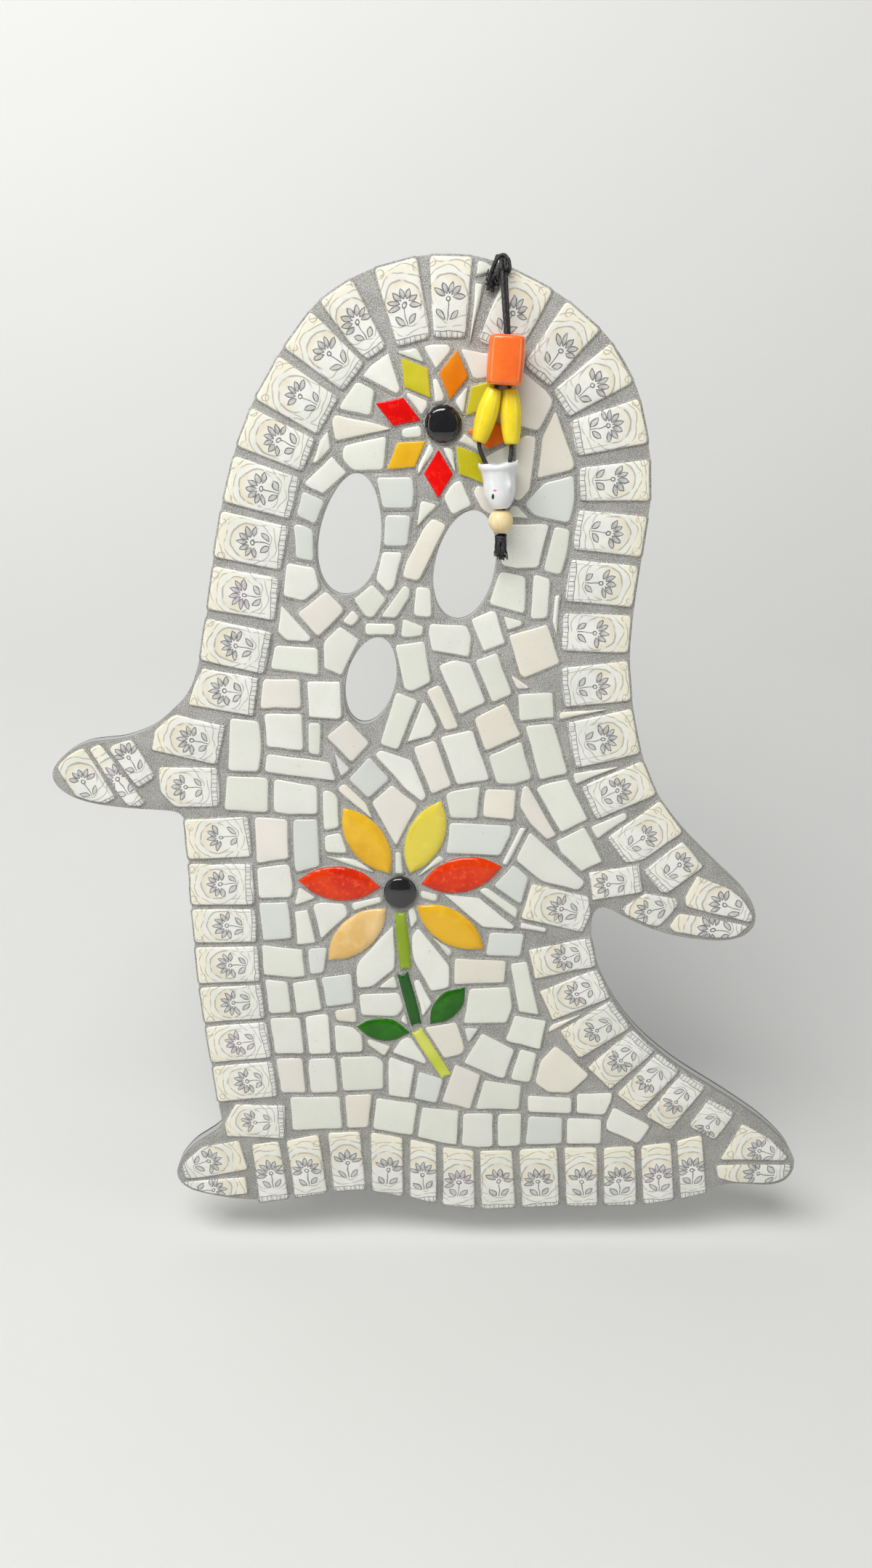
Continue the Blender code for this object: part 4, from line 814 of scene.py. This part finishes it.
def spineOf(outline):  # the middle line towards which a piece's upper rings close in
    area = loopArea(outline)
    middle = Vector((0, 0))
    for p, q in zip(outline, outline[1:] + outline[:1]):
        middle += (p + q) * (p.x * q.y - q.x * p.y) / (6 * area)
    way = longWay(outline)
    along = [(p - middle).dot(way) for p in outline]
    side = [(p - middle).x * way.y - (p - middle).y * way.x for p in outline]
    half = max(min(max(along), -min(along)) - (max(side) - min(side)) / 2, 0)
    return middle - way * half, middle + way * half


def closedIn(bm, top, spine, profile):  # rings of (distance inwards, level), each a step nearer the middle line
    rim = [corner.vert.co.copy() for corner in top.loops]
    line = spine[1] - spine[0]
    for n, (inwards, level) in enumerate(profile):
        if n:
            bmesh.ops.inset_individual(bm, faces=[top], thickness=0)
        for corner, start in zip(top.loops, rim):
            here = Vector((start.x, start.z))
            share = clamped((here - spine[0]).dot(line) / max(line.length_squared, 1e-12))
            inward = spine[0] + line * share - here
            moved = here + inward.normalized() * min(inwards, inward.length * 0.82)
            corner.vert.co = Vector((moved.x, level, moved.y))


def swollen(outline, by):  # every side moved outwards by as much
    if loopArea(outline) < 0:
        outline = outline[::-1]
    grown = []
    for before, p, after in inThrees(outline):
        a, b = (p - before).normalized(), (after - p).normalized()
        n = Vector((a.y, -a.x)) + Vector((b.y, -b.x))
        grown.append(p + n * by / max(1 + a.dot(b), 0.5))
    return grown


def softOutline(outline, look):  # one face with cut corners and slightly wandering sides
    bm = bmesh.new()
    if loopArea(outline) < 0:
        outline = outline[::-1]
    face = bm.faces.new([bm.verts.new((p.x, look["foot"], p.y)) for p in outline])
    if look["corner"] > 0:
        narrow = min(e.calc_length() for e in face.edges)
        bmesh.ops.bevel(bm, geom=face.verts[:], offset=min(look["corner"], narrow * 0.42), segments=3, profile=0.5,
                        affect="VERTICES", material=-1, clamp_overlap=True)
        bmesh.ops.subdivide_edges(bm, edges=[e for e in bm.edges if e.calc_length() > 0.006], cuts=2)
        bmesh.ops.dissolve_edges(bm, edges=[e for e in bm.edges if len(e.link_faces) == 2])
    for v in bm.verts:
        v.co = wandered(v.co, look["wander"])
    return bm


def nippedPiece(outline, look, profile=None, tilt=(0, 0)):
    spine = spineOf(outline)
    middle = (spine[0] + spine[1]) / 2
    bm = softOutline(outline, look)
    face = max(bm.faces, key=lambda f: f.calc_area())
    made = bmesh.ops.extrude_face_region(bm, geom=[face])["geom"]
    top = only(made, bmesh.types.BMFace)[0]
    if profile is None:
        profile = []
        for k in range(look["steps"] + 1):
            angle = pi / 2 * k / look["steps"]
            profile.append((look["rim"] * (1 - cos(angle)), look["top"] + look["drop"] * (1 - sin(angle))))
        if look["crown"]:
            profile.append((look["rim"] * 3, look["top"] - look["crown"]))
    closedIn(bm, top, spine, profile)
    for v in bm.verts:  # laid by hand, so not quite level
        if v.co.y < look["foot"] - 0.0001:
            v.co.y += (v.co.x - middle.x) * tilt[0] + (v.co.z - middle.y) * tilt[1]
    bmesh.ops.recalc_face_normals(bm, faces=bm.faces)
    return bm


glazeTones = {"greenish": (224, 227, 213), "pinkish": (230, 224, 214), "grey": (213, 217, 209),
              "cream": (231, 225, 209), "white": (231, 231, 221)}
glazeLook = {"shares": (7, 0.8, 1.2, 0.9, 6), "light": (0.94, 1.04), "tilt": 0.012, "seed": 11,
             "second": (216, 216, 206), "pits": (150, 142, 128)}
# the pieces that show each tone best
toneSpots = {
    "pinkish": ((-18, -202), (-75, -217), (39, -26), (47, -202), (-1, -183)),
    "grey": ((19, -217), (-63, -224), (-18, -62), (-18, -77), (-57, -82), (-54, -69), (36, -239), (12, -284)),
    "cream": ((29, -199), (-33, -35), (-5, -86), (50, -43), (38, -52), (-68, -282)),
    "white": ((-22, -13), (15, -245), (-32, -280), (-76, -240), (-25, -46), (10, -64), (36, -83), (-2, -278),
              (-50, -255))}
printTones = {"body": (237, 236, 228), "shade": (224, 225, 216), "cream": (241, 232, 200), "wash": (226, 209, 168),
              "arch": (134, 124, 108), "ink": (86, 82, 90), "violet": (106, 90, 112)}


def makeGlaze(name, printed):
    material, shader, place = startMaterial(name, 0.13, 0.35)
    if printed:
        marks = material.node_tree.nodes.new("ShaderNodeUVMap")
        marks.uv_map = "UVMap"
        variety = attributeOf(place, "variety")["Fac"]
        drawn = placeGroup(borderPrint, {"Place": marks.outputs[0], "World": place, "Variety": variety})
        colour = drift(place, printTones["body"], printTones["shade"], 55.0)["Color"]
        for mark, share, tone in (("Cream", 0.5, "cream"), ("Wash", 0.52, "wash"), ("Arches", 0.6, "arch")):
            colour = blendColour(times(drawn[mark], share), colour, printTones[tone])
        ink = blendColour(calc("GREATER_THAN", variety, 0.86), printTones["ink"], printTones["violet"])
        colour = blendColour(times(drawn["Ink"], 0.9), colour, ink)
    else:
        tone = attributeOf(place, "glazeTone")["Color"]
        colour = drift(place, tone, glazeLook["second"], 70.0, 0.35)["Color"]
    pits = times(remap(speckle(place, 800, 1), 0.74, 0.79), 0.3)
    setFinish(shader, Base_Color=blendColour(pits, colour, glazeLook["pits"]),
              Roughness=remap(speckle(place, 420, 3, 0.6), 0.3, 0.7, 0.08, 0.2),
              Normal=bumped(speckle(place, 130, 2), 0.12, 0.0012))
    return material


def middleOf(outline):
    return sum(outline, Vector((0, 0))) / len(outline)


def markNear(marks, middle, within):  # the mark nearest to that place, if it is near enough
    far, near = min((hypot(p[0] / 1000 - middle.x, p[1] / 1000 - middle.y), p) for p in marks)
    return near if far < within else None


def makePlainTiles():
    look = glazeLook
    material = makeGlaze("plainGlaze", False)
    toneAt = {spot: tone for tone, spots in toneSpots.items() for spot in spots}
    chance = Random(look["seed"])
    bm = bmesh.new()
    for outline in plainOutlines:
        middle = middleOf(outline)
        tone = chance.choices(list(glazeTones), look["shares"])[0]
        colour = linear(glazeTones[toneAt.get(markNear(toneAt, middle, 0.006), tone)])
        shrink = jointLook["flower" if markNear(flowerMiddles, middle, jointLook["near"]) else "field"]
        along = [p.dot(longWay(outline)) for p in outline]
        narrow = abs(loopArea(outline)) / (max(along) - min(along))
        light = chance.uniform(*look["light"])
        tilt = (chance.uniform(-look["tilt"], look["tilt"]), chance.uniform(-look["tilt"], look["tilt"]))
        piece = nippedPiece(swollen(outline, -min(shrink, narrow * 0.12)), plainTile, tilt=tilt)
        tint = piece.loops.layers.float_color.new("glazeTone")
        for f in piece.faces:
            for corner in f.loops:
                corner[tint] = (colour[0] * light, colour[1] * light, colour[2] * light, 1)
        joinInto(bm, piece)
    addPiece("plainCrockery", bm, material, ("mosaic",))


makePlainTiles()

# which way the sprig points on border pieces that don't follow the edge: place, direction
sprigTurns = {(-112.3, -191.3): 180, (-137.5, -180.5): 118, (-144.3, -186.5): 123, (-159.5, -186.5): 118,
              (110.3, -231.5): 40, (101.0, -250.8): 195, (82.8, -236.8): 190, (57.5, -251.2): 166,
              (133.3, -247.3): 156, (129.5, -261.0): 172, (-90.8, -365.7): 178, (-112.5, -388.5): 12,
              (-113.0, -404.0): 5, (137.0, -365.3): 240, (161.5, -378.5): 160, (161.0, -396.5): 180}


def sprigWay(outline):
    middle = middleOf(outline)
    mark = markNear(sprigTurns, middle, 0.005)
    if mark:
        turn = radians(sprigTurns[mark])
        return Vector((cos(turn), sin(turn)))
    way = longWay(outline)
    if middle.y < -0.368 and -0.1 < middle.x < 0.14:
        wanted = Vector((0, 1))  # bottom row
    elif middle.x > 0.045 and middle.y < -0.25:
        wanted = Vector((-1, -0.4))  # along the tail's upper edge
    elif middle.y < -0.2:
        wanted = Vector((middle.x, 0))
    else:
        wanted = middle - Vector((-0.005, -0.12))
    return way if way.dot(wanted) > 0 else -way


# millimetres, degrees and the tilt in the bed
printLook = {"seed": 5, "aside": 0.7, "up": (-0.6, 1.2), "turn": 4, "tilt": 0.008, "middle": 0.014, "tall": 0.0305,
             "grown": 1.14}


def makePrintedTiles():
    look = printLook
    material = makeGlaze("printedGlaze", True)
    chance = Random(look["seed"])
    pieces = []
    for number, outline in enumerate(sorted(printedOutlines, key=lambda loop: (round(loop[0].y, 2), loop[0].x))):
        way = sprigWay(outline)
        across = Vector((way.y, -way.x))
        foot = min(p.dot(way) for p in outline)
        grown = min(max((max(p.dot(way) for p in outline) - foot) / look["tall"], 1.0), look["grown"])
        middle = (max(p.dot(across) for p in outline) + min(p.dot(across) for p in outline)) / 2
        aside, up = chance.uniform(-look["aside"], look["aside"]) / 1000, chance.uniform(*look["up"]) / 1000
        turn = Matrix.Rotation(radians(chance.uniform(-look["turn"], look["turn"])), 2)
        tilt = (chance.uniform(-look["tilt"], look["tilt"]), chance.uniform(-look["tilt"], look["tilt"]))
        bm = nippedPiece(outline, printedTile, tilt=tilt)
        uv = bm.loops.layers.uv.new("UVMap")
        kind = bm.faces.layers.float.new("variety")
        choice = chance.random()
        for f in bm.faces:
            f[kind] = choice
            for corner in f.loops:
                p = Vector((corner.vert.co.x, corner.vert.co.z))
                local = turn @ Vector((p.dot(across) - middle, p.dot(way) - foot - look["middle"]))
                corner[uv].uv = ((local.x + aside) * 100 / grown, (local.y + look["middle"] + up) * 100 / grown)
        pieces.append(addPiece(f"printedPiece{number + 1:02d}", bm, material))
    return pieces


printedPieces = makePrintedTiles()
print("crockery laid:", len(plainOutlines), "plain and", len(printedPieces), "printed pieces")


# grout, drawn up a little round every piece
groutLook = {"back": -0.0063, "front": -0.0096, "rim": 0.0012, "collar": 0.0008, "corner": 0.0019,
             "wander": 0.00038, "stone": (168, 167, 162), "second": (150, 149, 144), "sand": (226, 223, 214),
             "dark": (84, 83, 80)}
glassFoot = -0.0066
glassNodes = sorted(n for n in cadNodes if n.startswith(("diamond_", "petal_", "leaf_", "stem_")))


def makeGrout():
    look = groutLook
    material, shader, place = startMaterial("sandedGrout", 0.86)
    grit = speckle(place, 2300, 2, 0.6)
    colour = drift(place, look["stone"], look["second"], 90.0)["Color"]
    colour = blendColour(remap(grit, 0.54, 0.66, 0, 0.85), colour, look["sand"])
    colour = blendColour(remap(grit, 0.45, 0.34, 0, 0.8), colour, look["dark"])
    setFinish(shader, Base_Color=colour, Normal=bumped(grit, 0.7, 0.0005))
    front = look["front"]
    bm = slabFrom(boardLoops, look["back"], front, ((front, look["rim"]),), 3)
    rise = ((0, front), (0.0004, front - 0.0001), (0.001, front - 0.00045))
    glassLoops = [loop for name in glassNodes for loop in flatOutlines(name, glassFoot, 1)]
    for outlines, corner in ((plainOutlines + printedOutlines, look["corner"]), (glassLoops, 0)):
        collar = {"corner": corner, "foot": front + 0.0004, "wander": look["wander"]}
        for outline in outlines:
            joinInto(bm, nippedPiece(swollen(outline, look["collar"]), collar, rise))
    addPiece("sandedGrout", bm, material)


makeGrout()
print("grout laid")


# glass
glassColours = {
    "diamond_1": "olive", "diamond_2": "orange", "diamond_3": "olive", "diamond_4": "ember",
    "diamond_5": "olive", "diamond_6": "red", "diamond_7": "amber", "diamond_8": "red",
    "petal_1": "amber", "petal_2": "yellow", "petal_3": "vermilion", "petal_4": "amber", "petal_5": "peach",
    "petal_6": "vermilion", "leaf_1": "leaf", "leaf_2": "leaf", "stem_1": "light", "stem_2": "dark",
    "stem_3": "lime"}
glassTones = {
    "olive": ((190, 180, 30), (206, 194, 56)), "orange": ((220, 120, 6), (230, 142, 36)),
    "vermilion": ((224, 58, 2), (206, 34, 2)), "red": ((232, 12, 4), (204, 4, 2)),
    "amber": ((232, 182, 40), (222, 164, 24)), "yellow": ((224, 207, 78), (214, 194, 56)),
    "peach": ((236, 202, 140), (226, 184, 112)), "leaf": ((40, 116, 4), (26, 94, 2)),
    "light": ((136, 162, 26), (158, 180, 56)), "dark": ((34, 92, 26), (24, 76, 18)),
    "lime": ((192, 202, 60), (212, 216, 96)), "ember": ((240, 104, 8), (242, 122, 22))}
glassLook = {"frostFrom": 0.62, "frostTo": 0.95, "frost": 0.45, "lift": 50, "streakLift": 34}


def makeGlassMaterial(tone, rippled):
    look = glassLook
    first, second = glassTones[tone]
    material, shader, place = startMaterial(tone + "Glass", 0.13, 0.1, Specular_IOR_Level=0.32,
                                            Subsurface_Weight=0.15, Subsurface_Radius=(0.003, 0.002, 0.001))
    swirl = remap(speckle(place, 45, 2, 0.4, 0.5), 0.35, 0.65)
    streaks = remap(speckle(place, 420 if rippled else 150, 3, 0.6, 0.4), 0.52, 0.68, 0, 0.6 if rippled else 0.2)
    pale = tuple(min(c + look["streakLift"], 255) for c in first)
    frost = tuple(min(c + look["lift"], 250) for c in first)
    colour = blendColour(streaks, blendColour(swirl, first, second), pale)
    rim = attributeOf(place, "rimShare")["Fac"]
    frosted = remap(rim, look["frostFrom"], look["frostTo"], 0, look["frost"])
    scale, strength, distance = (330, 0.3, 0.0011) if rippled else (110, 0.15, 0.0005)
    setFinish(shader, Base_Color=blendColour(frosted, colour, frost), Roughness=remap(rim, 0.6, 0.95, 0.1, 0.3),
              Normal=bumped(speckle(place, scale, 2), strength, distance))
    return material


glassShapes = {
    "diamond": {"corner": 0.0004, "rim": 0.0006, "drop": 0.0006, "crown": 0.0001, "top": -0.0107, "steps": 3,
                "wander": 0.00018},
    "petal": {"rim": 0.0046, "drop": 0.0019, "top": -0.0114, "wander": 0.00015},
    "leaf": {"rim": 0.0036, "drop": 0.0014, "top": -0.0110, "wander": 0.00015},
    "stem": {"rim": 0.0022, "drop": 0.0016, "top": -0.0110, "wander": 0.0001}}


def makeGlass():
    made = {}
    for name in glassNodes:
        kind, number = name.split("_")
        tone = glassColours[name]
        if tone not in made:
            made[tone] = makeGlassMaterial(tone, tone in ("vermilion", "red"))
        outline = flatOutlines(name, glassFoot, 1)[0]
        if kind != "diamond":
            outline = roundedLoop(outline, 4, 58)
        shape = {"corner": 0, "crown": 0, "steps": 6, "foot": glassFoot, **glassShapes[kind]}
        bm = nippedPiece(outline, shape)
        share = bm.verts.layers.float.new("rimShare")
        for v in bm.verts:
            v[share] = clamped((v.co.y - shape["top"]) / shape["drop"])
        addPiece(kind + "Glass" + number, bm, made[tone], (name,))


makeGlass()


gemLook = {"radius": 7.8, "foot": 6.6, "top": 13.3, "crown": 0.0009, "shoulder": 0.0015, "facets": 32,
           "colour": (14, 14, 16), "second": (26, 26, 28)}


def makeGems():
    look = gemLook
    material, shader, place = startMaterial("blackGlass", 0.04, 1.0)
    setFinish(shader, Base_Color=drift(place, look["colour"], look["second"], 200.0)["Color"])
    radius, tall = look["radius"] / 1000, (look["top"] - look["foot"]) / 1000
    low = tall - look["crown"]
    wall = low - look["shoulder"]
    for name, node, (x, z), facets in (("headGem", "head_gem", flowerMiddles[0], True),
                                       ("bodyGem", "body_gem", flowerMiddles[1], False)):
        profile = [(0, 0), (radius * 0.96, 0), (radius, 0.0004), (radius, wall)]
        shoulder = ((0.91, 0.0008), (0.8, 0.0014)) if facets else ((0.985, 0.0006), (0.93, 0.0011), (0.86, 0.0015))
        profile += [(radius * share, wall + up) for share, up in shoulder]
        for k in range(9):
            reach = 1 - k / 8
            profile.append((radius * 0.78 * reach, tall - look["crown"] * reach ** 2))
        bm = turned(profile, look["facets"] if facets else 48)
        if facets:  # two rows of small facets round the shoulder
            for v in bm.verts:
                if wall - 0.0001 < v.co.z < low - 0.0001 and hypot(v.co.x, v.co.y) > radius * 0.79:
                    step = round(atan2(v.co.y, v.co.x) / (2 * pi / look["facets"]))
                    push = 1.0 if (step + (v.co.z > wall + 0.0012)) % 2 else 0.965
                    v.co.x *= push
                    v.co.y *= push
        turn = Matrix.Translation(onFace(x, z, look["foot"])) @ Matrix.Rotation(pi / 2, 4, "X")
        bmesh.ops.transform(bm, matrix=turn, verts=bm.verts)
        piece = addPiece(name, bm, material, (node,))
        if facets:
            for polygon in piece.data.polygons:
                reach = hypot(polygon.center.x - x / 1000, polygon.center.z - z / 1000)
                polygon.use_smooth = reach < radius * 0.76


makeGems()
print("glass set")


# stage and light
stageLook = {"floor": -0.44, "wall": 0.30, "front": -1.2, "half": 1.5, "top": 1.6, "bend": 0.25,
             "paper": (226, 226, 223)}


def makeStage():
    look = stageLook
    bm = bmesh.new()
    bmesh.ops.create_grid(bm, x_segments=1, y_segments=1, size=1)
    for v in bm.verts:
        v.co = Vector((v.co.x * look["half"], look["front"] if v.co.y < 0 else look["wall"], look["floor"]))
    far = [e for e in bm.edges if all(v.co.y > 0 for v in e.verts)]
    made = bmesh.ops.extrude_edge_only(bm, edges=far)["geom"]
    bmesh.ops.translate(bm, verts=only(made, bmesh.types.BMVert), vec=(0, 0, look["top"] - look["floor"]))
    fold = [e for e in bm.edges if len(e.link_faces) == 2]
    bmesh.ops.bevel(bm, geom=fold, offset=look["bend"], segments=16, profile=0.5, affect="EDGES", material=-1)
    bmesh.ops.recalc_face_normals(bm, faces=bm.faces)
    if min(bm.faces, key=lambda f: f.calc_center_median().z).normal.z < 0:
        bmesh.ops.reverse_faces(bm, faces=bm.faces)
    mesh = meshFrom("studioSweep", bm)
    mesh.shade_smooth()
    material, shader, _ = startMaterial("palePaper", 0.9, Base_Color=linear(look["paper"]))
    # clear from outside, so that the ornament's back can be looked at
    nodes = material.node_tree.nodes
    mix = nodes.new("ShaderNodeMixShader")
    feed(shader.outputs[0].links[0].to_socket, mix.outputs[0])
    feed(mix.inputs[0], nodes.new("ShaderNodeNewGeometry").outputs["Backfacing"])
    feed(mix.inputs[1], shader.outputs[0])
    feed(mix.inputs[2], nodes.new("ShaderNodeBsdfTransparent").outputs[0])
    mesh.materials.append(material)
    sweep = newObject("studioSweep", mesh)


makeStage()

# place, size and power of each light; all point at the ornament's middle
lightLook = {"windowAbove": ((-0.3, -0.65, 0.75), (0.9, 0.5), 13), "softLeft": ((-1.2, -0.8, 0.1), (0.6, 1.2), 4),
             "softRight": ((1.2, -0.9, 0.1), (0.6, 1.2), 3)}
airLook = {"Color": (0.75, 0.77, 0.8, 1), "Strength": 0.22}


def makeLights():
    for name, (place, size, power) in lightLook.items():
        data = bpy.data.lights.new(name, "AREA")
        data.shape = "RECTANGLE"
        data.size, data.size_y = size
        data.energy = power
        light = newObject(name, data)
        light.location = place
        light.rotation_euler = (Vector((0, 0, -0.19)) - light.location).to_track_quat("-Z", "Y").to_euler()
    scene.world = bpy.data.worlds.new("studioAir")
    scene.world.use_nodes = True
    for key, value in airLook.items():
        feed(scene.world.node_tree.nodes["Background"].inputs[key], value)


makeLights()
scene.view_settings.view_transform = "Standard"
print("stage and lights set")
